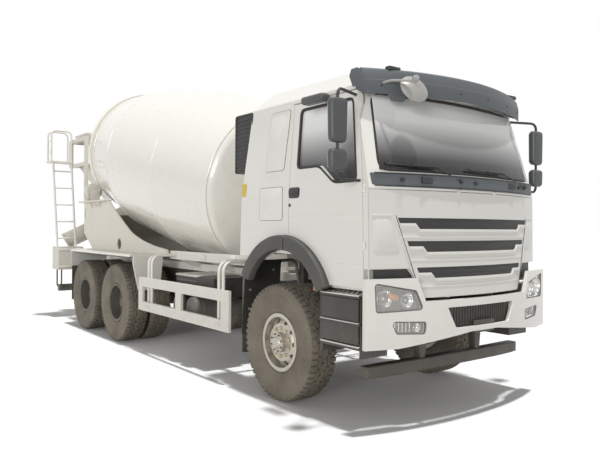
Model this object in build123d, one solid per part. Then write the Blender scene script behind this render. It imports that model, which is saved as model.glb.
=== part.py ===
from build123d import *
import os
from math import cos, sin, tan, radians

# Concrete mixer truck, three axles, in millimetres.
# It is drawn with X forward from the front axle, Y to the left and Z up from the road.
# On export everything moves forward, so that the origin lies on the road under the middle of the truck.

# Axles and wheels
WHEELBASE = 4025.0
BOGIE_SPREAD = 1350.0
TYRE_RADIUS = 562.5
TYRE_WIDTH = 304.0
RIM_RADIUS = 254.0
RIM_FLANGE = 24.0
RIM_WIDTH = 216.0
RIM_WALL = 12.0
FRONT_TRACK = 2022.0
REAR_TRACK = 1830.0
TWIN_SPACING = 345.0
KINGPIN_TRACK = FRONT_TRACK - 262.0
KINGPIN_RADIUS = 24.0
SPINDLE_RADIUS = 45.0
HUB_RADIUS = 95.0
BRAKE_RADIUS = 205.0
HAND_HOLES = 10
HAND_HOLE_RADIUS = 26.0
HAND_HOLE_CIRCLE = 205.0
RUN_FIT = 0.1
SEAT_GAP = 0.3
SPRING_Y = 530.0
SPRING_LIFT = 130.0
BANJO_RADIUS = 215.0
DIFF_NOSE = 360.0
PROP_RADIUS = 60.0
GEARBOX_REAR = -1500.0

# Frame and the mixer's own subframe
FRAME_HALF = 425.0
FRAME_TOP = 1060.0
FRAME_HEIGHT = 300.0
FRAME_FLANGE = 85.0
FRAME_WALL = 10.0
FRAME_FRONT = 1180.0
FRAME_REAR = -7000.0
TOW_Z = 820.0
TOW_REACH = 45.0
REAR_TOW_REACH = 95.0
TOW_RADIUS = 22.0
SUB_BEAM_HEIGHT = 100.0
SUB_BEAM_WIDTH = 80.0
SUB_FRONT = -900.0
SILL_Y = 860.0
SILL_WIDTH = 60.0
SILL_TOP = 1350.0
SILL_HEIGHT = 110.0

# Drum: its axis rises to the rear, and stations are (distance along the axis, radius)
DRUM_TILT = 11.5
DRUM_NOSE_X = -1290.0
DRUM_NOSE_Z = 2090.0
DRUM_WALL = 12.0
DRUM_STATIONS = (
    (0.0, 400.0),
    (300.0, 1050.0),
    (1700.0, 1180.0),
    (3300.0, 1180.0),
    (4500.0, 1000.0),
    (5450.0, 660.0),
)
DRUM_BENDS = (150.0, 2500.0, 2500.0, 2500.0)
RING_AT = 4500.0
RING_WIDTH = 90.0
RING_RADIUS = 1042.0
ROLLER_RADIUS = 130.0
ROLLER_WIDTH = 110.0
ROLLER_ANGLE = 52.0
ROLLER_SHAFT = 35.0
ROLL_GAP = 0.4
STUB_RADIUS = 60.0
FLANGE_GAP = 16.0
SUPPORT_AT = 200.0

# Cab
CAB_REAR = -700.0
CAB_HALF = 1150.0
CAB_FLOOR = 1480.0
FLOOR_WALL = 60.0
CAB_WALL = 55.0
CAB_BOTTOM = 1150.0
GUTTER_Z = 2870.0
ROOF_Z = 3060.0
ARCH_X = 100.0
ARCH_Z = 850.0
ARCH_RADIUS = 615.0
FLARE_RADIUS = 745.0
FLARE_OUT = 60.0
DOOR_GAP = 6.0
DOOR_REAR = 170.0
DOOR_FRONT = 1210.0
DOOR_BOTTOM = 1170.0
DOOR_TOP = 2840.0
LID_TOP = 1990.0
LID_BOTTOM = 1085.0
LID_LOW_Y = 670.0
LID_WAIST_Y = 800.0
CAB_CORNER_Z = 1335.0
LID_THICKNESS = 35.0
DOOR_HINGE_X = 1225.0
DOOR_HINGE_OUT = 15.0
DOOR_HINGES = (1500.0, 1960.0)
DOOR_LEAF = 30.0
DOOR_BARREL = 9.0
DOOR_PIN = 4.0
LID_GAP = 6.0
LID_HINGE_X = 1451.0
LID_HINGE_Y = 235.0
LID_HINGE_Z = 1993.0
LID_BARREL = 9.0
LID_BARREL_WIDTH = 14.0
LID_PIN = 4.0
GLASS_WALL = 12.0
GRILLE_SET_BACK = 18.0
GRILLE_WALL = 10.0

# Front and sides
BUMPER_HALF = 1248.0
BUMPER_TOP = 1264.0
BUMPER_CORNER_X = 1330.0
BUMPER_RETURN_X = 1300.0
BUMPER_BOTTOM = 700.0
GUARD_Y = 1248.0
STEP_OUT = 1180.0

# Rear stand, hopper and chute
PEDESTAL_Y = 900.0
PEDESTAL_TOP = 2095.0
PEDESTAL_FRONT = -5150.0
PEDESTAL_REAR = -6390.0
PLATE = 20.0
FENDER_TOP = 1290.0
FUNNEL_WALL = 12.0
POST_Y = 880.0
POST_WIDTH = 60.0
HOPPER_TOP = 3420.0
HOPPER_LOW = 3060.0
COLLECTOR_LOW = 2230.0
CHUTE_AXIS_X = -7120.0
CHUTE_PIVOT_Z = 1640.0
CHUTE_AXIS_Z = 2020.0
CHUTE_RADIUS = 290.0
CHUTE_LENGTH = 1123.0
CHUTE_SLOPE = 26.4
CHUTE_TURN = 63.4
CHUTE_WALL = 10.0
CHUTE_RIB = 18.0

# Front of the cab and its pivot
BUMPER_NOSE = 1540.0
BUMPER_WALL = 35.0
STAY_Z = 940.0
NOTCH_Z = 1070.0
NOTCH_LOW_Y = 700.0
NOTCH_TOP_Y = 790.0
TILT_X = 1370.0
TILT_Z = 1110.0
TILT_PIN = 25.0
TILT_HUB = 40.0
LUG_OUTER = 320.0
LUG_WALL = 30.0
BRACKET_GAP = 6.0
BRACKET_WALL = 25.0
CHUTE_POST = 60.0
TAIL_BOX_TOP = 1300.0

# Outline of the cab at four heights: (height, rear x, half width, corner x, middle x)
CAB_SECTIONS = (
    (CAB_BOTTOM, CAB_REAR, CAB_HALF, 1275.0, 1480.0),
    (2010.0, CAB_REAR + 40.0, CAB_HALF, 1262.0, 1450.0),
    (GUTTER_Z, CAB_REAR + 140.0, CAB_HALF - 70.0, 1020.0, 1200.0),
    (ROOF_Z, CAB_REAR + 260.0, CAB_HALF - 260.0, 860.0, 1010.0),
)

MID_AXLE = -WHEELBASE
GUARD_REAR = MID_AXLE + 915.0
GUARD_FRONT = -750.0
REAR_AXLE = -WHEELBASE - BOGIE_SPREAD
SUB_TOP = FRAME_TOP + SUB_BEAM_HEIGHT
FRAME_BOTTOM = FRAME_TOP - FRAME_HEIGHT
CHUTE_TIP_X = CHUTE_AXIS_X - CHUTE_LENGTH * cos(radians(CHUTE_SLOPE)) * cos(radians(CHUTE_TURN))
CHUTE_TAIL_X = CHUTE_TIP_X - (CHUTE_RADIUS + CHUTE_RIB) * sin(radians(CHUTE_TURN))
ORIGIN_SHIFT = -(BUMPER_NOSE + CHUTE_TAIL_X) / 2


def block(x0, x1, y0, y1, z0, z1):
    """Return a box between two corners."""
    size = (abs(x1 - x0), abs(y1 - y0), abs(z1 - z0))
    middle = ((x0 + x1) / 2, (y0 + y1) / 2, (z0 + z1) / 2)
    return Pos(*middle) * Box(*size)


def side_plate(points, y0, y1):
    """Return a plate whose outline is seen from the side, as (x, z) points."""
    face = make_face(Polyline([(x, y0, z) for x, z in points], close=True))
    return extrude(face, amount=y1 - y0, dir=(0, 1, 0))


def cross_plate(points, x0, x1):
    """Return a plate whose outline is seen from the front, as (y, z) points."""
    face = make_face(Polyline([(x0, y, z) for y, z in points], close=True))
    return extrude(face, amount=x1 - x0, dir=(1, 0, 0))


def flat_plate(points, z0, z1):
    """Return a plate whose outline is seen from above, as (x, y) points."""
    face = make_face(Polyline([(x, y, z0) for x, y in points], close=True))
    return extrude(face, amount=z1 - z0, dir=(0, 0, 1))


def rod(start, end, radius):
    """Return a round bar between two points."""
    a, b = Vector(start), Vector(end)
    return Solid.make_cylinder(radius, (b - a).length, Plane(origin=a, z_dir=b - a))


def pipe(points, radius, bend):
    """Return a bent round bar: straight runs joined by turned corners."""
    corners = [Vector(p) for p in points]
    start = corners[0]
    bar = None
    for before, corner, after in zip(corners[:-2], corners[1:-1], corners[2:]):
        into, out = (corner - before).normalized(), (after - corner).normalized()
        turn = into.get_angle(out)
        cut = bend * tan(radians(turn / 2))
        end = corner - into * cut
        inward = (out - into * out.dot(into)).normalized()
        axis = Axis(end + inward * bend, into.cross(out))
        elbow = revolve(Plane(origin=end, z_dir=into) * Circle(radius), axis, turn)
        straight = rod(start, end, radius)
        bar = straight + elbow if bar is None else bar + straight + elbow
        start = corner + out * cut
    return bar + rod(start, corners[-1], radius)


def turned(profile, x, z):
    """Return a body turned about a cross axis, from (radius, y) points."""
    face = make_face(Polyline([(r, y, 0) for r, y in profile], close=True))
    return Pos(x, 0, z) * revolve(face, Axis.Y, 360)


def flip(shape):
    """Return the shape's image on the other side of the truck."""
    return mirror(shape, about=Plane.XZ)


def pair(shape):
    """Return the shape and its image as one compound of two solids."""
    return Compound(children=[*solids_of(shape), *solids_of(flip(shape))])


def solids_of(shape):
    return list(shape.solids())


def group(*shapes):
    """Return several pieces that don't touch as one compound."""
    return Compound(children=[s for shape in shapes for s in solids_of(shape)])


# Drum axis helpers
def on_axis(along, out=0.0, side=0.0):
    """Return the point at a distance along the drum's axis, out below it and to its left."""
    tilt = radians(DRUM_TILT)
    x = DRUM_NOSE_X - along * cos(tilt) - out * sin(tilt)
    z = DRUM_NOSE_Z + along * sin(tilt) - out * cos(tilt)
    return Vector(x, side, z)


def drum_plane(along=0.0):
    """Return the plane across the drum's axis, its normal pointing to the rear."""
    tilt = radians(DRUM_TILT)
    return Plane(origin=on_axis(along), x_dir=(0, 1, 0), z_dir=(-cos(tilt), 0, sin(tilt)))


# Wheels
def tyre_section(middle):
    half = TYRE_WIDTH / 2
    inner = RIM_RADIUS + 2
    right = (
        (inner, -half * 0.69),
        (inner + RIM_FLANGE, -half * 0.70),
        (inner + 46, -half * 0.85),
        (inner + 124, -half * 0.98),
        (inner + 196, -half),
        (TYRE_RADIUS - 42, -half * 0.96),
        (TYRE_RADIUS - 14, -half * 0.89),
        (TYRE_RADIUS, -half * 0.74),
    )
    left = tuple((r, -y) for r, y in reversed(right))
    return [(r, y + middle) for r, y in right + left]


def tyre(x, middle):
    return turned(tyre_section(middle), x, TYRE_RADIUS)


def barrel(middle):
    """Return the rim's barrel with its two flanges, about the Y axis."""
    half = RIM_WIDTH / 2
    outer = RIM_RADIUS + 1.7
    inner = outer - RIM_WALL
    lip = outer + RIM_FLANGE
    profile = (
        (inner, -half - 12),
        (lip, -half - 12),
        (lip, -half),
        (outer, -half),
        (outer, half),
        (lip, half),
        (lip, half + 12),
        (inner, half + 12),
    )
    return turned([(r, y + middle) for r, y in profile], 0, 0)


def hand_holes(y0, y1):
    """Return the ring of cutters for the round hand holes in a wheel disc."""
    cutters = []
    for n in range(HAND_HOLES):
        angle = radians(360 / HAND_HOLES * n)
        x, z = HAND_HOLE_CIRCLE * cos(angle), HAND_HOLE_CIRCLE * sin(angle)
        cutters.append(rod((x, y0, z), (x, y1, z), HAND_HOLE_RADIUS))
    return cutters


def front_rim():
    """Return the left front wheel's rim, disc, hub and brake drum."""
    middle = FRONT_TRACK / 2
    disc = turned(
        [
            (RIM_RADIUS - 8, middle + 20),
            (RIM_RADIUS - 8, middle + 36),
            (235, middle + 60),
            (180, middle + 96),
            (HUB_RADIUS, middle + 96),
            (HUB_RADIUS, middle + 78),
            (174, middle + 78),
            (222, middle + 48),
        ],
        0,
        0,
    )
    hub = turned(
        [
            (0, middle + 165),
            (48, middle + 165),
            (60, middle + 150),
            (HUB_RADIUS + 2, middle + 145),
            (HUB_RADIUS + 2, middle + 60),
            (HUB_RADIUS + 2, middle - 60),
            (SPINDLE_RADIUS + RUN_FIT, middle - 60),
            (SPINDLE_RADIUS + RUN_FIT, middle + 130),
            (0, middle + 130),
        ],
        0,
        0,
    )
    brake = turned(
        [
            (BRAKE_RADIUS, middle - 110),
            (BRAKE_RADIUS, middle + 50),
            (HUB_RADIUS, middle + 50),
            (HUB_RADIUS, middle + 30),
            (BRAKE_RADIUS - 20, middle + 30),
            (BRAKE_RADIUS - 20, middle - 110),
        ],
        0,
        0,
    )
    rim = barrel(middle) + disc + hub + brake
    rim -= hand_holes(middle + 45, middle + 120)
    return Pos(0, 0, TYRE_RADIUS) * rim


def twin_rim(x):
    """Return the left pair of rims on one hub, bolted disc to disc."""
    middle = REAR_TRACK / 2
    outer_mid, inner_mid = middle + TWIN_SPACING / 2, middle - TWIN_SPACING / 2
    plate = 12.0

    def dish(sign, rim_mid):
        flat = middle + sign * 0.5
        edge = rim_mid - sign * 40
        return turned(
            [
                (HUB_RADIUS + 20, flat),
                (176, flat),
                (228, edge),
                (RIM_RADIUS - 8, edge),
                (RIM_RADIUS - 8, edge + sign * plate),
                (222, edge + sign * plate),
                (170, flat + sign * plate),
                (HUB_RADIUS + 20, flat + sign * plate),
            ],
            0,
            0,
        )

    hub = turned(
        [
            (SPINDLE_RADIUS + RUN_FIT, middle - 150),
            (HUB_RADIUS + 30, middle - 150),
            (HUB_RADIUS + 30, middle + 40),
            (HUB_RADIUS, middle + 60),
            (HUB_RADIUS, middle + 190),
            (HUB_RADIUS - 20, middle + 205),
            (0, middle + 205),
            (0, middle + 190),
            (SPINDLE_RADIUS + RUN_FIT, middle + 190),
        ],
        0,
        0,
    )
    rim = barrel(outer_mid) + barrel(inner_mid) + dish(1, outer_mid) + dish(-1, inner_mid) + hub
    rim -= hand_holes(middle - 60, middle + 60)
    return Pos(x, 0, TYRE_RADIUS) * rim


def knuckle():
    """Return the left steering knuckle: two lugs on the kingpin, spindle and track arm."""
    pin_y = KINGPIN_TRACK / 2
    lugs = block(-45, 45, pin_y - 45, pin_y + 60, TYRE_RADIUS + 66, TYRE_RADIUS + 110)
    lugs += block(-45, 45, pin_y - 45, pin_y + 60, TYRE_RADIUS - 110, TYRE_RADIUS - 66)
    back = block(-60, 60, pin_y + 52, pin_y + 64, TYRE_RADIUS - 110, TYRE_RADIUS + 110)
    pin = rod((0, pin_y, TYRE_RADIUS - 118), (0, pin_y, TYRE_RADIUS + 118), KINGPIN_RADIUS)
    spindle = rod((0, pin_y + 60, TYRE_RADIUS), (0, FRONT_TRACK / 2 + 128, TYRE_RADIUS), SPINDLE_RADIUS)
    arm = block(-230, -40, pin_y - 40, pin_y - 5, TYRE_RADIUS - 108, TYRE_RADIUS - 78)
    return lugs + back + pin + spindle + arm


def front_axle():
    """Return the dropped I-beam with an eye for each kingpin."""
    pin_y = KINGPIN_TRACK / 2
    outline = [
        (-pin_y, TYRE_RADIUS + 60),
        (-pin_y + 120, TYRE_RADIUS + 60),
        (-pin_y + 330, TYRE_RADIUS - 20),
        (pin_y - 330, TYRE_RADIUS - 20),
        (pin_y - 120, TYRE_RADIUS + 60),
        (pin_y, TYRE_RADIUS + 60),
        (pin_y, TYRE_RADIUS - 60),
        (pin_y - 150, TYRE_RADIUS - 60),
        (pin_y - 350, TYRE_RADIUS - 140),
        (-pin_y + 350, TYRE_RADIUS - 140),
        (-pin_y + 150, TYRE_RADIUS - 60),
        (-pin_y, TYRE_RADIUS - 60),
    ]
    beam = cross_plate(outline, -50, 50)
    reach = pin_y - 400
    for side in (-1, 1):
        beam -= block(side * 20, side * 60, -reach, reach, TYRE_RADIUS - 115, TYRE_RADIUS - 45)
    for side in (-1, 1):
        y = side * pin_y
        eye = rod((0, y, TYRE_RADIUS - 60), (0, y, TYRE_RADIUS + 60), 50)
        hole = rod((0, y, TYRE_RADIUS - 61), (0, y, TYRE_RADIUS + 61), KINGPIN_RADIUS + RUN_FIT)
        beam = beam + eye - hole
    return beam


def leaf_pack(x, half_length, y, seat_z, leaves, upward):
    """Return one stack of leaves, longest first, as a stepped bar."""
    leaf = 18.0
    pack = None
    for n in range(leaves):
        reach = half_length * (1 - 0.8 * n / leaves)
        low = seat_z + (n * leaf if upward else -(n + 1) * leaf)
        one = block(x - reach, x + reach, y - 45, y + 45, low, low + leaf)
        pack = one if pack is None else pack + one
    return pack


def springs():
    """Return front leaf springs with their hangers and the bogie's springs."""
    y = FRAME_HALF - 45
    front_seat = TYRE_RADIUS - 20
    front = leaf_pack(0, 800, y, front_seat + 90, 5, False)
    for x in (-790, 790):
        front += block(x - 30, x + 30, y - 40, y + 40, front_seat + 80, FRAME_BOTTOM)
    trunnion_x = (MID_AXLE + REAR_AXLE) / 2
    low, seat = TYRE_RADIUS - 110, TYRE_RADIUS + SPRING_LIFT
    rear = leaf_pack(trunnion_x, BOGIE_SPREAD / 2 + 60, SPRING_Y, seat, 7, True)
    rear += block(trunnion_x - 90, trunnion_x + 90, FRAME_HALF, SPRING_Y + 50, low, seat + 1)
    rear += block(trunnion_x - 90, trunnion_x + 90, FRAME_HALF, FRAME_HALF + 40, low, FRAME_TOP - 90)
    return group(pair(front), pair(rear))


def rear_axles():
    """Return the two driven axles: beam, banjo and diff nose on each."""
    pieces = []
    reach = REAR_TRACK / 2 - 152
    for x in (MID_AXLE, REAR_AXLE):
        beam = block(x - 70, x + 70, -reach, reach, TYRE_RADIUS - 70, TYRE_RADIUS + 70)
        end = REAR_TRACK / 2 + 180
        beam += rod((x, -end, TYRE_RADIUS), (x, end, TYRE_RADIUS), SPINDLE_RADIUS)
        for side in (-1, 1):
            y = side * SPRING_Y
            top = TYRE_RADIUS + SPRING_LIFT - SEAT_GAP
            beam += block(x - 60, x + 60, y - 48, y + 48, TYRE_RADIUS + 69, top)
        banjo = Pos(x, 0, TYRE_RADIUS) * Sphere(BANJO_RADIUS)
        nose = rod((x + 100, 0, TYRE_RADIUS + 40), (x + DIFF_NOSE, 0, TYRE_RADIUS + 40), 90)
        pieces.append(beam + banjo + nose)
    return group(*pieces)


def prop_shafts():
    z = TYRE_RADIUS + 40
    nose = DIFF_NOSE + SEAT_GAP
    front = rod((MID_AXLE + nose + 4, 0, z), (GEARBOX_REAR - SEAT_GAP - 4, 0, z + 130), PROP_RADIUS)
    rear = rod((REAR_AXLE + nose, 0, z), (MID_AXLE - BANJO_RADIUS - SEAT_GAP, 0, z), PROP_RADIUS)
    return group(front, rear)


def engine_block():
    """Return the engine as one plain block with the gearbox behind it."""
    engine = block(-350, 850, -330, 330, 640, 1385)
    gearbox = block(GEARBOX_REAR, -349, -230, 230, 620, 990)
    web = FRAME_HALF - FRAME_WALL - SEAT_GAP
    mounts = block(300, 420, -web, web, 900, 960) + block(-1300, -1220, -web, web, 860, 900)
    return engine + gearbox + mounts


# Chassis
def frame_rails():
    """Return the two channel rails joined by the cross members."""
    web = block(FRAME_REAR, FRAME_FRONT, FRAME_HALF - FRAME_WALL, FRAME_HALF, FRAME_BOTTOM, FRAME_TOP)
    for z in (FRAME_BOTTOM, FRAME_TOP - FRAME_WALL):
        web += block(FRAME_REAR, FRAME_FRONT, FRAME_HALF - FRAME_FLANGE, FRAME_HALF, z, z + FRAME_WALL)
    rails = web + flip(web)
    inner = FRAME_HALF - FRAME_WALL
    cross_at = (FRAME_FRONT - 90, -1750, -2900, (MID_AXLE + REAR_AXLE) / 2, -6050, FRAME_REAR + 90)
    for x in cross_at:
        rails += block(x - 60, x + 60, -inner, inner, FRAME_TOP - 180, FRAME_TOP - 60)
    rails += block(FRAME_REAR, FRAME_REAR + 14, -FRAME_HALF, FRAME_HALF, FRAME_BOTTOM, FRAME_TOP)
    near = LUG_OUTER + BRACKET_GAP
    far = near + BRACKET_WALL
    hub_radius = TILT_HUB - 8
    bracket = block(FRAME_FRONT - 60, TILT_X, near, far, FRAME_TOP - 20, TILT_Z + hub_radius)
    bracket += rod((TILT_X, near, TILT_Z), (TILT_X, far, TILT_Z), hub_radius)
    bracket += rod((TILT_X, LUG_OUTER - LUG_WALL - 6, TILT_Z), (TILT_X, far - 1, TILT_Z), TILT_PIN)
    rear_eye = FRAME_REAR - REAR_TOW_REACH
    tow = block(rear_eye - 35, FRAME_REAR, -15, 15, TOW_Z - 40, TOW_Z + 40)
    tow -= rod((rear_eye, -16, TOW_Z), (rear_eye, 16, TOW_Z), TOW_RADIUS)
    eye_x = FRAME_FRONT + TOW_REACH
    front_tow = block(FRAME_FRONT - 1, eye_x + 35, FRAME_HALF - 40, FRAME_HALF - 10, TOW_Z - 40, TOW_Z + 40)
    front_tow -= rod((eye_x, FRAME_HALF - 50, TOW_Z), (eye_x, FRAME_HALF, TOW_Z), TOW_RADIUS)
    rails = rails + tow + front_tow + flip(front_tow)
    rest = block(-620, -540, FRAME_HALF - 75, FRAME_HALF - 5, FRAME_TOP, CAB_FLOOR - FLOOR_WALL - 0.3)
    return rails + bracket + flip(bracket) + rest + flip(rest)


def subframe():
    """Return the mixer's subframe: two beams, cross ties, outriggers and the side sills."""
    half = SUB_BEAM_WIDTH / 2
    y = FRAME_HALF - half
    beam = block(FRAME_REAR, SUB_FRONT, y - half, y + half, FRAME_TOP, SUB_TOP)
    rear_end = -2950.0
    tip = -820.0
    sill = side_plate(
        [
            (rear_end, SILL_TOP - SILL_HEIGHT),
            (tip - 120, SILL_TOP - SILL_HEIGHT),
            (tip, SILL_TOP - SILL_HEIGHT / 2),
            (tip - 120, SILL_TOP),
            (rear_end, SILL_TOP),
        ],
        SILL_Y - SILL_WIDTH,
        SILL_Y,
    )
    side = beam + sill
    for x in (-1050, -2000, -2900):
        arm = cross_plate(
            [
                (y, FRAME_TOP + 20),
                (SILL_Y - SILL_WIDTH, SILL_TOP - SILL_HEIGHT),
                (SILL_Y, SILL_TOP - SILL_HEIGHT),
                (SILL_Y, SILL_TOP - 30),
                (SILL_Y - SILL_WIDTH, SILL_TOP - 30),
                (y + half, SUB_TOP),
                (y, SUB_TOP),
            ],
            x - 25,
            x + 25,
        )
        side += arm
    frame = side + flip(side)
    for x in (SUB_FRONT - 60, -2450, -3400, -5300, FRAME_REAR + 60):
        frame += block(x - 50, x + 50, -y, y, FRAME_TOP, SUB_TOP - 30)
    return frame


def front_support():
    """Return the stand in front of the drum that carries its gearbox."""
    seat = on_axis(-SUPPORT_AT)
    top = seat.Z - 270
    side = side_plate(
        [
            (SUB_FRONT - 480, SUB_TOP),
            (SUB_FRONT - 10, SUB_TOP),
            (seat.X + 90, top),
            (seat.X - 60, top),
            (seat.X - 100, 1600),
        ],
        FRAME_HALF - 70,
        FRAME_HALF - 40,
    )
    stand = side + flip(side)
    for z in (SUB_TOP + 10, 1480, top - 30):
        stand += block(seat.X - 60, seat.X + 60, -FRAME_HALF + 40, FRAME_HALF - 40, z, z + 30)
    return stand


def reducer():
    """Return the drum's gearbox and motor, its output face just ahead of the drum's flange."""
    length = 300.0
    plane = drum_plane(-FLANGE_GAP - length / 2)
    case = plane * Cylinder(235, length)
    case -= drum_plane(-50) * Cylinder(STUB_RADIUS + RUN_FIT, 110)
    motor = drum_plane(-FLANGE_GAP - length - 110) * Pos(70, 0, 0) * Cylinder(105, 222)
    seat = on_axis(-SUPPORT_AT)
    foot = block(seat.X - 60, seat.X + 90, -260, 260, seat.Z - 270, seat.Z - 170)
    return case + motor + foot


def drum_outline(inset):
    """Return the half section of the drum, as a face that touches its axis."""
    stations = [(s + (inset if n == 0 else 0), r - inset) for n, (s, r) in enumerate(DRUM_STATIONS)]
    if inset:
        last_s, last_r = stations[-1]
        stations[-1] = (last_s + 40, last_r - 14)
    rim = FilletPolyline([(r, s, 0) for s, r in stations], radius=list(DRUM_BENDS))
    first, last = stations[0], stations[-1]
    back = Polyline([(last[1], last[0], 0), (0, last[0], 0), (0, first[0], 0), (first[1], first[0], 0)])
    return make_face([*rim.edges(), *back.edges()])


def ring_band(outer, inner, at, width):
    """Return a flat ring about the drum's axis, drawn with that axis along Y."""
    return Pos(0, at, 0) * Rot(90, 0, 0) * (Cylinder(outer, width) - Cylinder(inner, width))


def drum():
    """Return the drum shell with its open mouth, flange, stub shaft and roller ring."""
    shell = revolve(drum_outline(0), Axis.Y, 360) - revolve(drum_outline(DRUM_WALL), Axis.Y, 360)
    ring = ring_band(RING_RADIUS, RING_RADIUS - 60, RING_AT, RING_WIDTH)
    flange = Rot(90, 0, 0) * Cylinder(300, 20)
    stub = Pos(0, -40, 0) * Rot(90, 0, 0) * Cylinder(STUB_RADIUS, 80)
    lip_at, lip_radius = DRUM_STATIONS[-1]
    lip = ring_band(lip_radius + 25, lip_radius - 8, lip_at - 20, 40)
    whole = shell + ring + flange + stub + lip
    return Pos(*on_axis(0)) * Rot(0, 0, 90) * Rot(DRUM_TILT, 0, 0) * whole


def roller_centre(side):
    """Return a roller's middle, side 1 for the left."""
    reach = RING_RADIUS + ROLLER_RADIUS + ROLL_GAP
    angle = radians(ROLLER_ANGLE)
    return on_axis(RING_AT, reach * cos(angle), side * reach * sin(angle))


def along_axis(point, distance):
    """Return the point moved to the rear along the drum's axis."""
    tilt = radians(DRUM_TILT)
    return Vector(point.X - distance * cos(tilt), point.Y, point.Z + distance * sin(tilt))


def roller(side):
    middle = roller_centre(side)
    half = ROLLER_WIDTH / 2
    wheel = rod(along_axis(middle, -half), along_axis(middle, half), ROLLER_RADIUS)
    shaft = rod(along_axis(middle, -half - 70), along_axis(middle, half + 70), ROLLER_SHAFT)
    return wheel + shaft


def drum_pedestal():
    """Return the stand under the drum's rear: two wings, roller seats and cross panels."""
    front, rear = PEDESTAL_FRONT, PEDESTAL_REAR
    edges = [
        *Line((rear, PEDESTAL_TOP), (front, PEDESTAL_TOP)).edges(),
        *ThreePointArc((front, PEDESTAL_TOP), (-4200, 1570), (-2960, SILL_TOP)).edges(),
        *Polyline(
            [
                (-2960, SILL_TOP),
                (-2960, FENDER_TOP),
                (-5950, FENDER_TOP),
                (rear, 1560),
                (rear, PEDESTAL_TOP),
            ]
        ).edges(),
    ]
    wing = Pos(0, PEDESTAL_Y, 0) * (Plane.XZ * extrude(make_face(edges), amount=PLATE))
    wing -= rod((-4700, PEDESTAL_Y - 60, 1400), (-4700, PEDESTAL_Y + 60, 1400), 90)
    wing -= block(-6330, -6250, PEDESTAL_Y - 60, PEDESTAL_Y + 60, 1840, 1990)
    side = wing + block(rear, front, PEDESTAL_Y - 40, PEDESTAL_Y + 100, PEDESTAL_TOP, PEDESTAL_TOP + 25)
    middle = roller_centre(1)
    half = ROLLER_WIDTH / 2
    for distance in (-half - 45, half + 45):
        seat = along_axis(middle, distance)
        side += block(seat.X - 12, seat.X + 12, seat.Y - 75, seat.Y + 75, PEDESTAL_TOP, seat.Z + 50)
    bore = rod(along_axis(middle, -half - 90), along_axis(middle, half + 90), ROLLER_SHAFT + RUN_FIT)
    side -= bore
    whole = side + flip(side)
    inner, step = PEDESTAL_Y - PLATE / 2, 600.0
    for x, top in ((-5320, 1500), (-5980, 1880)):
        outline = [(-inner, FENDER_TOP), (-step, FENDER_TOP), (-step, SUB_TOP), (step, SUB_TOP)]
        outline += [(step, FENDER_TOP), (inner, FENDER_TOP), (inner, top), (-inner, top)]
        whole += cross_plate(outline, x, x + 30)
    return whole


# Rear: hopper, chute, ladder and bar
def funnel(low_shape, top_shape):
    return loft([low_shape, top_shape])


def hopper():
    """Return the filling hopper, the discharge funnel and the frame that carries both."""
    wall = FUNNEL_WALL

    def cone(inset, extra):
        low = Pos(-6800, 0, HOPPER_LOW - extra) * Rectangle(420 - 2 * inset, 700 - 2 * inset)
        top = Pos(-7090, 0, HOPPER_TOP + extra) * Rectangle(760 - 2 * inset, 1500 - 2 * inset)
        return funnel(low, top)

    def collector(inset, extra):
        low = Pos(CHUTE_AXIS_X, 0, COLLECTOR_LOW - extra) * Rectangle(420 - 2 * inset, 420 - 2 * inset)
        top = Pos(-7000, 0, 2850 + extra) * Rectangle(500 - 2 * inset, 1500 - 2 * inset)
        return funnel(low, top)

    filler = cone(0, 0) - cone(wall, 1)
    discharge = collector(0, 0) - collector(wall, 1)
    lip_at, lip_radius = DRUM_STATIONS[-1]
    swept = drum_plane(lip_at - 60) * Cylinder(lip_radius + 60, 300)
    discharge -= swept
    half = POST_WIDTH / 2
    frame = None
    for side in (-1, 1):
        y = side * POST_Y
        x = PEDESTAL_REAR + half
        bars = block(x - half, x + half, y - half, y + half, PEDESTAL_TOP + 25, 3300)
        bars += block(-7240, x, y - half, y + half, 2780, 2840)
        bars += block(-7240, x, y - half, y + half, 3240, 3300)
        bars += block(-7240, -7180, y - half, y + half, 2780, 3300)
        bars += block(-7150, -7090, side * 560, side * (POST_Y - half + 1), 3250, 3290)
        bars += block(-7150, -7090, side * 715, side * (POST_Y - half + 1), 2790, 2830)
        frame = bars if frame is None else frame + bars
    frame += block(-7240, -7180, -POST_Y, POST_Y, 3240, 3300)
    return frame + filler + discharge


def chute_place():
    """Return the placement of the chute's swing, stored turned to the right."""
    return Pos(CHUTE_AXIS_X, 0, 0) * Rot(0, 0, 180 + CHUTE_TURN)


def chute_stand():
    """Return the bracket behind the frame that holds the chute's swing post."""
    plate = block(FRAME_REAR - 14, FRAME_REAR, -FRAME_HALF, FRAME_HALF, 960, 1250)
    arm = block(CHUTE_AXIS_X, FRAME_REAR - 13, -60, 60, 1180, 1250)
    tube = rod((CHUTE_AXIS_X, 0, 1150), (CHUTE_AXIS_X, 0, 1420), CHUTE_POST + 18)
    bore = rod((CHUTE_AXIS_X, 0, 1140), (CHUTE_AXIS_X, 0, 1421), CHUTE_POST + RUN_FIT)
    return plate + arm + tube - bore


def chute_post():
    """Return the swing post with its collar and the fork that carries the chute's pin."""
    post = rod((0, 0, 1150), (0, 0, 1560), CHUTE_POST)
    collar = rod((0, 0, 1425), (0, 0, 1450), CHUTE_POST + 25)
    fork = block(-60, 60, -80, 80, 1540, 1570)
    for side in (-1, 1):
        fork += block(-34, 34, side * 55, side * 80, 1541, CHUTE_PIVOT_Z + 26)
    fork -= rod((0, -90, CHUTE_PIVOT_Z), (0, 90, CHUTE_PIVOT_Z), 15 + RUN_FIT)
    return chute_place() * (post + collar + fork)


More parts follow.
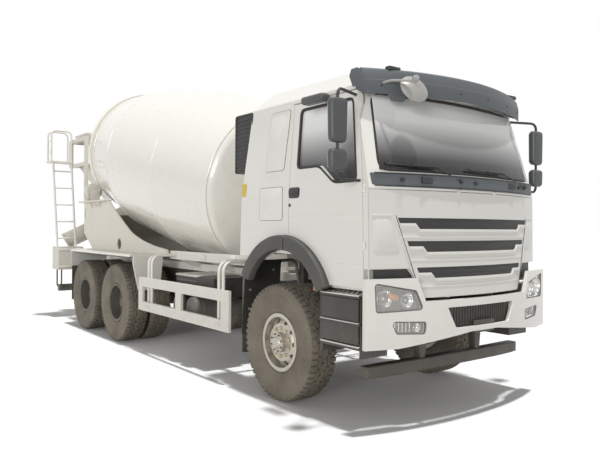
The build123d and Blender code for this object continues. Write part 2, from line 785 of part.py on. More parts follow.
def chute():
    """Return the half-round discharge chute with its ribs and pivot lug."""
    radius, wall = CHUTE_RADIUS, CHUTE_WALL
    back = 170.0
    length = CHUTE_LENGTH + back

    def trough(outer, inner, x, run):
        ring = Rot(0, 90, 0) * (Cylinder(outer, run) - Cylinder(inner, run))
        ring -= Pos(0, 0, 1.5 * outer) * Box(2 * run, 3 * outer, 3 * outer)
        return Pos(x, 0, 0) * ring

    whole = trough(radius, radius - wall, length / 2 - back, length)
    for x in (-back + 20, CHUTE_LENGTH / 2, CHUTE_LENGTH - 20):
        whole += trough(radius + CHUTE_RIB, radius - 1, x, 40)
    sloped = Pos(0, 0, CHUTE_AXIS_Z) * Rot(0, CHUTE_SLOPE, 0) * whole
    lug = block(-45, 45, -49, 49, CHUTE_PIVOT_Z + 36, CHUTE_PIVOT_Z + 110)
    lug += block(-30, 30, -49, 49, CHUTE_PIVOT_Z - 25, CHUTE_PIVOT_Z + 40)
    core = Pos(0, 0, CHUTE_AXIS_Z) * Rot(0, CHUTE_SLOPE, 0) * Rot(0, 90, 0) * Cylinder(radius - 1, 600)
    pin = rod((0, -90, CHUTE_PIVOT_Z), (0, 90, CHUTE_PIVOT_Z), 15)
    return chute_place() * (sloped + (lug - core) + pin)


def ladder():
    """Return the ladder at the right rear, with its platform and guard hoops."""
    low_z, top_z, x = TAIL_BOX_TOP + 1.2, 2850.0, -6960.0
    lean_x, lean_y = -60.0, -70.0
    low = (-1200, -870)
    whole = None
    for y in low:
        rail = rod((x, y, low_z), (x + lean_x, y + lean_y, top_z + 10), 18)
        whole = rail if whole is None else whole + rail
    rungs = 5
    for n in range(rungs):
        share = (n + 0.5) / rungs
        z = low_z + share * (top_z - low_z)
        ends = [(x + share * lean_x, y + share * lean_y, z) for y in low]
        whole += rod(*ends, 13)
    outer = POST_Y + POST_WIDTH / 2
    whole += block(-7240, -6960, -1330, -outer, top_z, top_z + 30)
    hoop_x = (-7215, -6990)
    for hx in hoop_x:
        foot, crown = top_z + 20, 3440
        path = [(hx, -1310, foot), (hx, -1310, crown), (hx, -outer - 40, crown), (hx, -outer - 40, foot)]
        whole += pipe(path, 15, 90)
    for z in (3050, 3250):
        whole += rod((hoop_x[0], -1310, z), (hoop_x[1], -1310, z), 12)
    return whole


def tail_boxes():
    """Return the closed box each side at the tail that carries the rear lamps."""
    box = block(-7230, -6850, 760, 1210, 880, TAIL_BOX_TOP)
    box += block(-6960, -6880, FRAME_HALF, 761, 930, 1030)
    return pair(box)


def rear_bar():
    """Return the rear under-run bar with its two drop arms."""
    bar = block(-7100, -7000, -1150, 1150, 480, 600)
    for y in (-380, 380):
        bar += block(-7060, FRAME_REAR, y - 40, y + 40, 590, 950)
    return bar


# Sides
def side_guards():
    """Return the side guards between the axles, with the tubes that carry them."""
    rails = None
    for z0, z1 in ((880, 1000), (560, 680)):
        rail = block(GUARD_REAR, GUARD_FRONT, GUARD_Y - 30, GUARD_Y, z0, z1)
        rails = rail if rails is None else rails + rail
    middle = (GUARD_REAR + GUARD_FRONT) / 2
    posts = ((GUARD_REAR, GUARD_REAR + 130), (middle - 75, middle + 75), (GUARD_FRONT - 170, GUARD_FRONT))
    for x0, x1 in posts:
        rails += block(x0, x1, GUARD_Y - 30, GUARD_Y, 560, 1000)
    for x in (-2820, -980):
        for shift in (-45, 45):
            y = GUARD_Y - 43
            rails += pipe([(x + shift, y, 600), (x + shift, y, 1295), (x + shift, SILL_Y, 1295)], 20, 110)
    return pair(rails)


def battery_box():
    box = block(-2310, -1360, 560, 1080, 850, 1080)
    box += block(-2250, -1420, FRAME_HALF, 561, 880, 1000)
    return flip(box)


def air_tanks():
    """Return the two air tanks across the right side, hung below the battery box."""
    tanks = None
    for x in (-2150, -1800):
        tank = rod((x, -1120, 700), (x, -560, 700), 138)
        tanks = tank if tanks is None else tanks + tank
    return tanks + block(-2220, -1730, -900, -860, 700, 849.7)


def fuel_tank():
    """Return the fuel tank on the left with its two straps to the frame."""
    tank = block(-2700, -1350, 480, 1130, 480, 1090)
    tank = fillet(tank.edges().filter_by(Axis.X), 110)
    for x in (-2500, -1550):
        tank += block(x - 40, x + 40, FRAME_HALF, 520, 700, 1040)
    return tank


def bumper_band(inset, z0, z1):
    """Return the bumper's solid outline from above, moved in from its outer face."""
    half, corner, nose = BUMPER_HALF - inset, BUMPER_CORNER_X - inset, BUMPER_NOSE - inset
    back = BUMPER_RETURN_X - inset
    edges = [
        *Polyline([(corner, -half), (back, -half), (back, half), (corner, half)]).edges(),
        *ThreePointArc((corner, half), (nose, 0), (corner, -half)).edges(),
    ]
    return Pos(0, 0, z0) * extrude(make_face(edges), amount=z1 - z0)


# Lamp openings on the left, as (y, z) corners
HEAD_WINDOW = ((1172.0, 1234.0), (790.0, 1165.0), (715.0, 1002.0), (1160.0, 992.0))
FOG_WINDOW = ((1030.0, 923.0), (690.0, 906.0), (700.0, 800.0), (980.0, 816.0))
LAMP_WINDOWS = (HEAD_WINDOW, FOG_WINDOW)
LAMP_CORNER = 28.0
LAMP_DEPTH = 40.0
BUMPER_ARCH = ((-1050.0, 690.0), (-180.0, 785.0), (180.0, 785.0), (1050.0, 690.0))
AIR_INLET = ((470.0, 1010.0), (370.0, 825.0), (-370.0, 825.0), (-470.0, 1010.0))


def lamp_shape(corners, gap):
    """Return a lamp's outline as a solid with round corners, moved in by a gap."""
    face = make_face(Polyline([(900, y, z) for y, z in corners], close=True))
    face = fillet(face.vertices(), LAMP_CORNER)
    return extrude(offset(face, amount=-gap) if gap else face, amount=800, dir=(1, 0, 0))


def bumper_notch(gap):
    """Return the cutter for the bumper's dropped top edge under the grille, lowered by a gap."""
    right = [(-NOTCH_TOP_Y, BUMPER_TOP + 10 - gap), (-NOTCH_LOW_Y, NOTCH_Z - gap)]
    return cross_plate(right + [(-y, z) for y, z in reversed(right)], 900, 1700)


def front_bumper():
    """Return the bumper: a curved hollow band with openings for the lamps."""
    shell = bumper_band(0, BUMPER_BOTTOM, BUMPER_TOP)
    shell -= bumper_band(BUMPER_WALL, BUMPER_BOTTOM - 1, BUMPER_TOP + 1)
    shell -= bumper_notch(0)
    for corners in LAMP_WINDOWS:
        window = lamp_shape(corners, 0)
        shell -= window + flip(window)
    shell -= cross_plate(AIR_INLET, 1226, 1700)
    shell -= cross_plate(BUMPER_ARCH, 1000, 1700)
    elbow_x, arm_y, top = FRAME_FRONT + 120, 490, STAY_Z + 50
    stay = block(FRAME_FRONT, elbow_x, FRAME_HALF - 60, FRAME_HALF, STAY_Z, top)
    stay += block(elbow_x - 30, elbow_x, FRAME_HALF - 60, arm_y + 50, STAY_Z, top)
    stay += block(elbow_x - 30, 1480, arm_y, arm_y + 50, STAY_Z, top)
    return shell + stay + flip(stay)


def head_lamps():
    """Return the four lamp units seated in the bumper's windows."""
    lamps = []
    for corners in LAMP_WINDOWS:
        z0 = min(z for y, z in corners) - 10
        z1 = max(z for y, z in corners) + 10
        layer = bumper_band(12, z0, z1) - bumper_band(12 + LAMP_DEPTH, z0 - 1, z1 + 1)
        lamps.append(layer & lamp_shape(corners, SEAT_GAP))
    left = group(*lamps)
    return group(left, flip(left))


def underrun_bar():
    """Return the bar below the bumper with its arms to the frame."""
    bar = block(1080, 1180, -1050, 1050, 410, 520)
    for y in (-390, 390):
        bar += block(1090, 1170, y - 35, y + 35, 519, FRAME_BOTTOM)
    return bar


def front_mudguards():
    """Return the plates behind the front wheels, with the stays to the frame."""
    plate = side_plate([(-570, 1330), (-645, 560), (-655, 560), (-580, 1330)], 700, STEP_OUT - 30)
    stay = block(-660, -625, FRAME_HALF, 1000, 800, 840)
    return pair(plate + stay)


def cab_steps():
    """Return the steps below each door, open treads between two side plates."""
    steps = None
    for z in (1110, 890, 690):
        step = block(680, 1190, 860, STEP_OUT, z - 20, z)
        steps = step if steps is None else steps + step
    for x in (680, 1170):
        steps += block(x, x + 20, 860, STEP_OUT - 20, 600, 1110)
    steps += block(700, 1170, 860, 880, 600, 1110)
    steps += block(900, 960, FRAME_HALF, 861, 840, 960)
    return pair(steps)


def rear_fenders():
    """Return the flat covers over the rear wheels with their front panels."""
    top = block(-6020, -3430, 620, 1240, FENDER_TOP - 40, FENDER_TOP)
    panel = cross_plate([(760, 1251), (1200, 1251), (1200, 1150), (1120, 790), (800, 790)], -3431, -3401)
    tail = block(-6050, -6019, 620, 1240, 1000, FENDER_TOP)
    return pair(top + panel + tail)


# Cab
def cab_values(z):
    """Return the cab outline's rear, half width, corner and middle at a height."""
    for below, above in zip(CAB_SECTIONS[:-1], CAB_SECTIONS[1:]):
        if z <= above[0]:
            break
    share = (z - below[0]) / (above[0] - below[0])
    return [a + (b - a) * share for a, b in zip(below[1:], above[1:])]


def cab_loft(side, front, rear, low, top):
    """Return the cab's body between two heights, moved in from the outer skin."""
    rings = []
    for z in [low] + [s[0] for s in CAB_SECTIONS if low < s[0] < top] + [top]:
        back, half, corner, nose = cab_values(z)
        back, half, corner, nose = back + rear, half - side, corner - front, nose - front
        edges = [
            *Polyline([(corner, -half, z), (back, -half, z), (back, half, z), (corner, half, z)]).edges(),
            *ThreePointArc((corner, half, z), (nose, 0, z), (corner, -half, z)).edges(),
        ]
        rings.append(make_face(edges))
    return loft(rings, ruled=True)


def door_outline(gap):
    """Return the door's outline as (x, z) points, moved in by the gap."""
    return [
        (DOOR_REAR + gap, DOOR_TOP - gap),
        (1062 - gap, DOOR_TOP - gap),
        (1190 - gap, 2060),
        (DOOR_FRONT - gap, DOOR_BOTTOM + gap),
        (DOOR_REAR + gap, DOOR_BOTTOM + gap),
    ]


WINDOW = ((280, 2220), (640, 2220), (840, 2060), (1110, 2060), (1000, 2770), (280, 2770))


def window_cutter(gap):
    face = make_face(Polyline([(x, CAB_HALF - 250, z) for x, z in WINDOW], close=True))
    return extrude(offset(face, amount=-gap) if gap else face, amount=400, dir=(0, 1, 0))


def arch(radius, y0, y1):
    return rod((ARCH_X, y0, ARCH_Z), (ARCH_X, y1, ARCH_Z), radius)


def lid_outline(gap):
    """Return the front lid's outline as (y, z) points, moved in by the gap."""
    top, low, corner = LID_TOP - gap, LID_BOTTOM + gap, CAB_CORNER_Z + gap
    side = CAB_HALF + 10
    right = [(-side, top), (-side, corner), (gap - LID_WAIST_Y, corner), (gap - LID_LOW_Y, low)]
    return right + [(-y, z) for y, z in reversed(right)]


def windscreen_outline(gap):
    right = [(-960 + gap, 2810 - gap), (-1030 + gap, 2150 + gap)]
    return right + [(-y, z) for y, z in reversed(right)]


def door_hinge(lift, inner_x, pin):
    """Return one half of the left door's hinges: leaf and barrel, with the pin or with its bore."""
    x, y = DOOR_HINGE_X, CAB_HALF + DOOR_HINGE_OUT
    halves = None
    for base in DOOR_HINGES:
        z = base + lift
        half = block(inner_x, x, CAB_HALF + 0.5, CAB_HALF + 8, z, z + DOOR_LEAF)
        half += block(inner_x, inner_x + 10, CAB_HALF - 1, CAB_HALF + 8, z, z + DOOR_LEAF)
        half += rod((x, y, z), (x, y, z + DOOR_LEAF), DOOR_BARREL)
        if pin:
            half += rod((x, y, z - DOOR_LEAF), (x, y, z + 1), DOOR_PIN)
        else:
            half -= rod((x, y, z - 1), (x, y, z + DOOR_LEAF + 1), DOOR_PIN + RUN_FIT)
        halves = half if halves is None else halves + half
    return halves


def lid_hinge_cab():
    """Return the cab's half of both lid hinges: a barrel with its pin."""
    x, y, z = LID_HINGE_X, LID_HINGE_Y, LID_HINGE_Z
    half = rod((x, y, z), (x, y + LID_BARREL_WIDTH, z), LID_BARREL)
    half += block(x - 21, x, y, y + LID_BARREL_WIDTH, z, z + 14)
    half += rod((x, y + 1, z), (x, y + 2 * LID_BARREL_WIDTH + 5, z), LID_PIN)
    return half + flip(half)


def lid_hinge_lid():
    """Return the lid's half of both hinges: a barrel with its bore."""
    x, z = LID_HINGE_X, LID_HINGE_Z
    y = LID_HINGE_Y + LID_BARREL_WIDTH + 2
    half = rod((x, y, z), (x, y + LID_BARREL_WIDTH, z), LID_BARREL)
    half += block(x - 21, x + 5, y, y + LID_BARREL_WIDTH, z - 21, z - 7)
    half -= rod((x, y - 1, z), (x, y + LID_BARREL_WIDTH + 1, z), LID_PIN + RUN_FIT)
    return half + flip(half)


def cab_shell():
    """Return the hollow cab with its door openings, windscreen opening and lid recess."""
    wide = CAB_HALF + 150
    shell = cab_loft(0, 0, 0, CAB_BOTTOM, ROOF_Z)
    shell -= cab_loft(CAB_WALL, 60, 50, CAB_FLOOR, ROOF_Z - 60)
    shell -= cab_loft(CAB_WALL, 60, 50, CAB_BOTTOM - 1, CAB_FLOOR - FLOOR_WALL)
    opening = side_plate(door_outline(0), CAB_HALF - 150, CAB_HALF + 150)
    shell -= opening
    shell -= flip(opening)
    wheel_arch = arch(ARCH_RADIUS, CAB_HALF - 70, CAB_HALF + 150)
    shell -= wheel_arch
    shell -= flip(wheel_arch)
    shell -= block(-900, -212, -wide, wide, CAB_BOTTOM - 10, 1380)
    shell -= cross_plate(windscreen_outline(0), 900, 1700)
    recess = cross_plate(lid_outline(0), 1200, 1700)
    recess -= cab_loft(-100, LID_THICKNESS + LID_GAP, -100, CAB_BOTTOM - 1, ROOF_Z + 1)
    shell -= recess
    keep = cross_plate([(-640, 1140), (640, 1140), (LID_WAIST_Y, 1340), (-LID_WAIST_Y, 1340)], 1214, 1700)
    shell -= block(500, 1700, -wide, wide, CAB_BOTTOM - 10, CAB_CORNER_Z) - keep
    well = block(690, 1212, 790, CAB_HALF - CAB_WALL, CAB_BOTTOM, CAB_FLOOR - 1)
    well -= block(705, 1197, 805, CAB_HALF, CAB_BOTTOM + 20, CAB_FLOOR + 1)
    hole = block(705, 1197, 805, CAB_HALF - CAB_WALL, CAB_BOTTOM + 20, CAB_FLOOR + 1)
    shell = shell - hole - flip(hole) + well + flip(well)
    lug = rod((TILT_X, LUG_OUTER - LUG_WALL, TILT_Z), (TILT_X, LUG_OUTER, TILT_Z), TILT_HUB)
    lug += block(TILT_X - 20, TILT_X + 45, LUG_OUTER - LUG_WALL, LUG_OUTER, TILT_Z, TILT_Z + 140)
    lug -= rod((TILT_X, 0, TILT_Z), (TILT_X, LUG_OUTER + 10, TILT_Z), TILT_PIN + RUN_FIT)
    hinge = door_hinge(DOOR_LEAF + 2, DOOR_HINGE_X - 12, True)
    return shell + lug + flip(lug) + hinge + flip(hinge) + lid_hinge_cab()


def windscreen():
    layer = cab_loft(-100, 12, -100, CAB_BOTTOM, ROOF_Z)
    layer -= cab_loft(-110, 12 + GLASS_WALL, -110, CAB_BOTTOM - 1, ROOF_Z + 1)
    return layer & cross_plate(windscreen_outline(0.3), 1000, 1700)


# Grille slots in the front lid: (top z, half width, half width of the deeper middle)
GRILLE_SLOTS = (
    (1757.0, 900.0, 690.0),
    (1565.0, 815.0, 620.0),
    (1345.0, 725.0, 540.0),
)
SLOT_SHALLOW = 44.0
SLOT_DEEP = 92.0
SLOT_SLANT = 0.4


def slot_outline(top, half, deep_half, gap):
    """Return one grille slot as (y, z) points: shallow ends and a deeper middle, moved in by a gap."""
    shallow, deep = top - SLOT_SHALLOW + gap, top - SLOT_DEEP + gap
    end, step = half - gap, deep_half - gap
    right = [
        (-end, top - gap),
        (-end + SLOT_SLANT * SLOT_SHALLOW, shallow),
        (-step - 40, shallow),
        (-step, deep),
    ]
    return right + [(-y, z) for y, z in reversed(right)]


def front_lid():
    """Return the front lid that opens upward, with the grille's three slots and a crease above them."""
    low = LID_BOTTOM - 5
    lid = cab_loft(0, 0, 0, low, ROOF_Z)
    lid -= cab_loft(-100, LID_THICKNESS, -100, low - 1, ROOF_Z + 1)
    lid &= cross_plate(lid_outline(LID_GAP), 1200, 1700)
    for top, half, deep_half in GRILLE_SLOTS:
        lid -= cross_plate(slot_outline(top, half, deep_half, 0), 1200, 1700)
    return lid + lid_hinge_lid()


def grille():
    """Return the ribbed dark bars that sit back in the lid's slots."""
    layer = cab_loft(-100, GRILLE_SET_BACK, -100, CAB_BOTTOM, ROOF_Z)
    layer -= cab_loft(-110, GRILLE_SET_BACK + GRILLE_WALL, -110, CAB_BOTTOM - 1, ROOF_Z + 1)
    ribs = cab_loft(-100, GRILLE_SET_BACK - 8, -100, CAB_BOTTOM, ROOF_Z)
    ribs -= cab_loft(-110, GRILLE_SET_BACK + 1, -110, CAB_BOTTOM - 1, ROOF_Z + 1)
    bars = []
    for top, half, deep_half in GRILLE_SLOTS:
        outline = cross_plate(slot_outline(top, half, deep_half, SEAT_GAP), 1200, 1700)
        rib = block(1200, 1700, -half, half, top - 26, top - 18)
        rib += block(1200, 1700, -half, half, top - 70, top - 62)
        bars.append((layer & outline) + (ribs & outline & rib))
    return group(*bars)


def flare(x0, x1, low, seat):
    """Return the left flare round the wheel arch between two lengths, down to a height."""
    band = arch(FLARE_RADIUS, CAB_HALF + seat, CAB_HALF + FLARE_OUT)
    band -= arch(ARCH_RADIUS + DOOR_GAP, CAB_HALF - 2, CAB_HALF + 100)
    return band & block(x0, x1, CAB_HALF - 10, CAB_HALF + 200, low, 1800)


def door():
    """Return the left door with its window opening and its part of the wheel-arch flare."""
    panel = cab_loft(0, 0, 0, CAB_BOTTOM, ROOF_Z) - cab_loft(CAB_WALL, -100, 50, CAB_BOTTOM - 1, ROOF_Z + 1)
    panel &= side_plate(door_outline(DOOR_GAP), CAB_HALF - 150, CAB_HALF + 150)
    panel -= arch(ARCH_RADIUS + DOOR_GAP, CAB_HALF - 250, CAB_HALF + 150)
    panel -= window_cutter(0)
    panel += door_hinge(0, DOOR_HINGE_X - 55, False)
    return panel + flare(DOOR_REAR + DOOR_GAP, 900, DOOR_BOTTOM + DOOR_GAP, 0)


def cab_flares():
    return pair(flare(-600, DOOR_REAR, 1380, 0.3))


def door_glass():
    layer = cab_loft(20, -100, 0, CAB_BOTTOM, ROOF_Z)
    layer -= cab_loft(20 + GLASS_WALL, -110, 50, CAB_BOTTOM - 1, ROOF_Z + 1)
    return layer & window_cutter(0.3)


def mirrors():
    """Return the left door's mirrors: two housings on a looped arm and the kerb mirror."""
    y = CAB_HALF + 240
    path = [(1030, CAB_HALF - 80, 2790), (1150, y, 2790), (1150, y, 2060), (1150, CAB_HALF - 5, 2060)]
    group_arm = pipe(path, 14, 60)
    main = block(1110, 1190, y - 90, y + 90, 2350, 2710)
    low = block(1110, 1190, y - 90, y + 90, 2120, 2300)
    kerb = block(560, 860, CAB_HALF + 60, CAB_HALF + 170, 2745, 2815)
    kerb += rod((700, CAB_HALF - 80, 2780), (700, CAB_HALF + 100, 2780), 12)
    skin = cab_loft(-0.3, -0.3, 0, CAB_BOTTOM, ROOF_Z)
    return group((group_arm + main + low) - skin, kerb - skin)


def front_strip(corner, nose, half, depth, z0, z1):
    """Return a strip that follows the cab's curved front between two heights."""
    edges = [
        *ThreePointArc((corner, half), (nose, 0), (corner, -half)).edges(),
        *Line((corner, -half), (corner - depth, -half)).edges(),
        *ThreePointArc((corner - depth, -half), (nose - depth, 0), (corner - depth, half)).edges(),
        *Line((corner - depth, half), (corner, half)).edges(),
    ]
    return Pos(0, 0, z0) * extrude(make_face(edges), amount=z1 - z0)


def sun_visor():
    """Return the curved visor over the windscreen with its brackets and the front mirror."""
    visor = front_strip(1130, 1390, 1100, 18, 2790, 3020)
    for y in (-700, 0, 700):
        visor += block(1000, 1270 + (100 if y == 0 else 0), y - 15, y + 15, 2885, 2915)
    mirror = rod((1395, -800, 2850), (1430, -800, 2835), 130)
    arm = rod((1000, -930, 2860), (1405, -810, 2850), 12)
    return (visor + mirror + arm) - cab_loft(-0.3, -0.3, -0.3, CAB_BOTTOM, ROOF_Z)


def cowl():
    """Return the dark strip at the foot of the windscreen."""
    strip = front_strip(1268, 1468, 1120, 60, 2010, 2120)
    return strip - cab_loft(-0.3, -0.3, -0.3, CAB_BOTTOM, ROOF_Z)


def dash():
    """Return the dashboard with the steering column and wheel on the left."""
    room = cab_loft(CAB_WALL + 0.3, 60.3, 50, CAB_FLOOR + 1, ROOF_Z - 60)
    board = block(1000, 1500, -1075, 1075, 1760, 2080) & room
    column = rod((1010, 560, 1900), (760, 560, 2050), 35)
    face = Plane(origin=(752, 560, 2055), x_dir=(0, 1, 0), z_dir=(-0.86, 0, 0.51))
    return board + column + face * Torus(215, 16) + face * Box(425, 40, 20)


def seats():
    """Return the two seats and the bunk behind them."""
    pieces = []
    floor = CAB_FLOOR + 0.3
    for y in (-560, 560):
        seat = block(150, 560, y - 200, y + 200, floor, 1760)
        seat += block(80, 620, y - 260, y + 260, 1760, 1890)
        seat += side_plate([(80, 1890), (210, 1890), (110, 2560), (0, 2560)], y - 250, y + 250)
        pieces.append(seat)
    pieces.append(block(-600, -60, -1060, 1060, floor, 1900))
    return group(*pieces)


def air_intake():
    """Return the intake box on the cab's right rear corner."""
    box = block(-900, -500, -1080, -780, 2250, 2870)
    return box - cab_loft(-0.3, -0.3, -0.3, CAB_BOTTOM, ROOF_Z)


NODES = {
    "frame_rails": frame_rails,
    "subframe": subframe,
    "front_axle": front_axle,
    "springs": springs,
    "rear_axles": rear_axles,
    "prop_shafts": prop_shafts,
    "engine_block": engine_block,
    "fuel_tank": fuel_tank,
    "battery_box": battery_box,
    "air_tanks": air_tanks,
    "side_guards": side_guards,
    "front_bumper": front_bumper,
    "head_lamps": head_lamps,
    "underrun_bar": underrun_bar,
    "front_mudguards": front_mudguards,
    "cab_steps": cab_steps,
    "rear_fenders": rear_fenders,
    "drum_pedestal": drum_pedestal,
    "front_support": front_support,
    "reducer": reducer,
    "hopper": hopper,
    "ladder": ladder,
    "tail_boxes": tail_boxes,
    "rear_bar": rear_bar,
    "chute_stand": chute_stand,
    "chute_post": chute_post,
    "chute": chute,
    "drum": drum,
    "cab_shell": cab_shell,
    "windscreen": windscreen,
    "front_lid": front_lid,
    "grille": grille,
    "cab_flares": cab_flares,
    "sun_visor": sun_visor,
    "cowl": cowl,
    "dash": dash,
    "seats": seats,
    "air_intake": air_intake,
}


def sided_nodes():
    """Return the pieces that have a left and a right copy, by name."""
    left = {
        "roller": lambda: roller(1),
        "knuckle": knuckle,
        "front_tyre": lambda: tyre(0, FRONT_TRACK / 2),
        "front_rim": front_rim,
        "door": door,
        "door_glass": door_glass,
        "mirrors": mirrors,
    }
    for place, x in (("mid", MID_AXLE), ("rear", REAR_AXLE)):
        left[f"{place}_tyres"] = lambda x=x: twin_tyres(x)
        left[f"{place}_rims"] = lambda x=x: twin_rim(x)
    return left


def twin_tyres(x):
    """Return the two tyres of a left twin wheel."""
    middle = REAR_TRACK / 2
    return group(*(tyre(x, middle + side * TWIN_SPACING / 2) for side in (-1, 1)))


def write(name, shape):
    """Write one node, moved so that the origin lies under the middle of the truck."""
    solids = [Pos(ORIGIN_SHIFT, 0, 0) * solid for solid in shape.solids()]
    export_step(solids[0] if len(solids) == 1 else Compound(children=solids), f"parts/{name}.step")


def main():
    os.makedirs("parts", exist_ok=True)
    for name, make in NODES.items():
        write(name, make())
    for name, make in sided_nodes().items():
        left = make()
        write(f"{name}_l", left)
        write(f"{name}_r", flip(left))


main()
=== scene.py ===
import logging
from collections.abc import Callable
from dataclasses import dataclass
from enum import Enum
from math import asin, atan2, cos, pi, radians, sin, sqrt

import bpy
from mathutils import Matrix, Vector

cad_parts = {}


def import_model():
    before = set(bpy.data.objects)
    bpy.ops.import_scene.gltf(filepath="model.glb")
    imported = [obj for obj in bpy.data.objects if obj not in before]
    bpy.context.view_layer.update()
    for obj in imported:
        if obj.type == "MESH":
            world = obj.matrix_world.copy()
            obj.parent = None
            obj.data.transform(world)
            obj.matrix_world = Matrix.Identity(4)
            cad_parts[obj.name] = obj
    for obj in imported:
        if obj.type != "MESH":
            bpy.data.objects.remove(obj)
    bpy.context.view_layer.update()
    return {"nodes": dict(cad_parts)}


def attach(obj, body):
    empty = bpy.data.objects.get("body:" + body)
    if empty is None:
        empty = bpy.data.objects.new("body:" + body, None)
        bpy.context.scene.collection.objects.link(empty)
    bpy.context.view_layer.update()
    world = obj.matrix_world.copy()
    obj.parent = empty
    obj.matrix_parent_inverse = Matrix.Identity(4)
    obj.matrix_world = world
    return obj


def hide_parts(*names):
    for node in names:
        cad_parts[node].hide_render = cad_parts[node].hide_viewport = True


LOG = logging.getLogger("mixer_truck")

# The front axle's place in the row frame. Every size below is measured from that axle, in metres.
AXLE_X = 3.1528967
WHEELBASE = 4.025
BOGIE_SPREAD = 1.35
TYRE_RADIUS = 0.5625

# The longest straight run of a line laid on a curved front, and how deep trim sits in that front
LONGEST_CUT, SINK = 0.06, 0.004

Flat = tuple[float, float]
Point = tuple[float, float, float]
Colour = tuple[float, float, float]
Face = Callable[[float, float], float]
Piece = bpy.types.Object


class Side(Enum):
    """The two sides of the truck, by the sign of Y."""

    RIGHT = -1
    LEFT = 1

    @property
    def tag(self) -> str:
        """Return the letter that ends the names of this side's bodies and pieces."""
        return "r" if self is Side.RIGHT else "l"


class Relief(Enum):
    """The small pattern that stands on a finish."""

    PLAIN = "plain"
    CHEQUER = "chequer"
    WEAVE = "weave"
    FLUTES = "flutes"


@dataclass(frozen=True)
class Finish:
    """One surface finish: its colour, how it drifts, its gloss and its grain."""

    name: str
    colour: Colour
    drift: Colour
    roughness: float
    metallic: float = 0.0
    coat: float = 0.0
    drift_size: float = 1.6
    drift_share: float = 0.35
    grain_size: float = 260.0
    grain_depth: float = 0.06
    gloss_spread: float = 0.06
    dust: float = 0.0
    relief: Relief = Relief.PLAIN


CAB_PAINT = Finish(
    "cab_white", (0.80, 0.785, 0.745), (0.76, 0.74, 0.69), 0.3, coat=0.45, dust=0.35, grain_depth=0.02
)
LID_PAINT = Finish(
    "lid_white", (0.70, 0.69, 0.655), (0.66, 0.645, 0.60), 0.32, coat=0.4, dust=0.3, grain_depth=0.02
)
DRUM_PAINT = Finish(
    "drum_cream", (0.83, 0.81, 0.745), (0.76, 0.73, 0.65), 0.28, coat=0.6, drift_size=0.9,
    drift_share=0.2, grain_depth=0.0
)
FRAME_WHITE = Finish("frame_white", (0.80, 0.785, 0.73), (0.70, 0.67, 0.60), 0.42, dust=0.5, grain_depth=0.04)
STAND_WHITE = Finish("stand_white", (0.74, 0.715, 0.65), (0.66, 0.63, 0.55), 0.45, dust=0.4, grain_depth=0.04)
FRAME_STEEL = Finish("frame_black", (0.030, 0.029, 0.027), (0.07, 0.062, 0.052), 0.6, dust=0.8)
DARK_IRON = Finish("cast_iron", (0.038, 0.036, 0.033), (0.085, 0.072, 0.058), 0.72, dust=0.8, grain_depth=0.2)
GREY_PLASTIC = Finish(
    "grey_plastic", (0.098, 0.110, 0.118), (0.130, 0.142, 0.150), 0.55, grain_size=700.0, grain_depth=0.12
)
FLARE_GREY = Finish(
    "flare_grey", (0.066, 0.065, 0.060), (0.10, 0.096, 0.088), 0.6, dust=0.6, grain_size=700.0,
    grain_depth=0.12
)
BLACK_PLASTIC = Finish(
    "black_plastic", (0.022, 0.023, 0.023), (0.045, 0.045, 0.043), 0.5, dust=0.5, grain_depth=0.1
)
DARK_GRILLE = Finish("dark_grille", (0.028, 0.028, 0.025), (0.05, 0.048, 0.042), 0.45, relief=Relief.FLUTES)
UNDERRUN_PAINT = Finish("underrun_brown", (0.036, 0.035, 0.031), (0.055, 0.052, 0.045), 0.5, dust=0.35)
RUBBER = Finish(
    "tyre_rubber", (0.135, 0.118, 0.094), (0.27, 0.24, 0.19), 0.85, drift_size=3.5, drift_share=0.7,
    grain_size=120.0, grain_depth=0.25
)
SOFT_RUBBER = Finish("soft_rubber", (0.018, 0.018, 0.017), (0.05, 0.046, 0.04), 0.7, dust=0.6)
SILVER_RIM = Finish("rim_silver", (0.58, 0.55, 0.49), (0.42, 0.38, 0.32), 0.38, metallic=0.55, dust=0.6)
GREY_RIM = Finish("rim_grey", (0.085, 0.082, 0.070), (0.14, 0.13, 0.11), 0.6, metallic=0.2, dust=0.6)
RIM_LIP = Finish("rim_lip", (0.50, 0.48, 0.43), (0.38, 0.36, 0.32), 0.45, metallic=0.3, dust=0.5)
NUT_METAL = Finish("nut_metal", (0.66, 0.60, 0.46), (0.40, 0.32, 0.20), 0.35, metallic=0.9)
TREAD_METAL = Finish(
    "tread_metal", (0.62, 0.61, 0.58), (0.45, 0.43, 0.39), 0.35, metallic=0.8, relief=Relief.CHEQUER
)
TANK_METAL = Finish("tank_grey", (0.11, 0.11, 0.105), (0.17, 0.16, 0.14), 0.5, dust=0.5)
LAMP_CHROME = Finish("lamp_reflector", (0.82, 0.82, 0.80), (0.60, 0.60, 0.58), 0.15, metallic=0.95)
LAMP_AMBER = Finish("lamp_amber", (0.80, 0.27, 0.05), (0.62, 0.17, 0.03), 0.3, coat=0.5, relief=Relief.FLUTES)
LAMP_RED = Finish("lamp_red", (0.42, 0.02, 0.015), (0.30, 0.012, 0.01), 0.3, coat=0.5, relief=Relief.FLUTES)
MARKER_TAG = Finish("yellow_tag", (0.72, 0.52, 0.06), (0.60, 0.42, 0.05), 0.5)
MIRROR_FACE = Finish(
    "mirror_face", (0.70, 0.72, 0.73), (0.66, 0.68, 0.69), 0.06, metallic=1.0, grain_depth=0.0
)
SEAT_CLOTH = Finish("seat_cloth", (0.10, 0.10, 0.105), (0.15, 0.15, 0.155), 0.9, relief=Relief.WEAVE)
HOUSING_GREY = Finish("mirror_housing", (0.066, 0.071, 0.073), (0.09, 0.095, 0.098), 0.42, grain_depth=0.05)
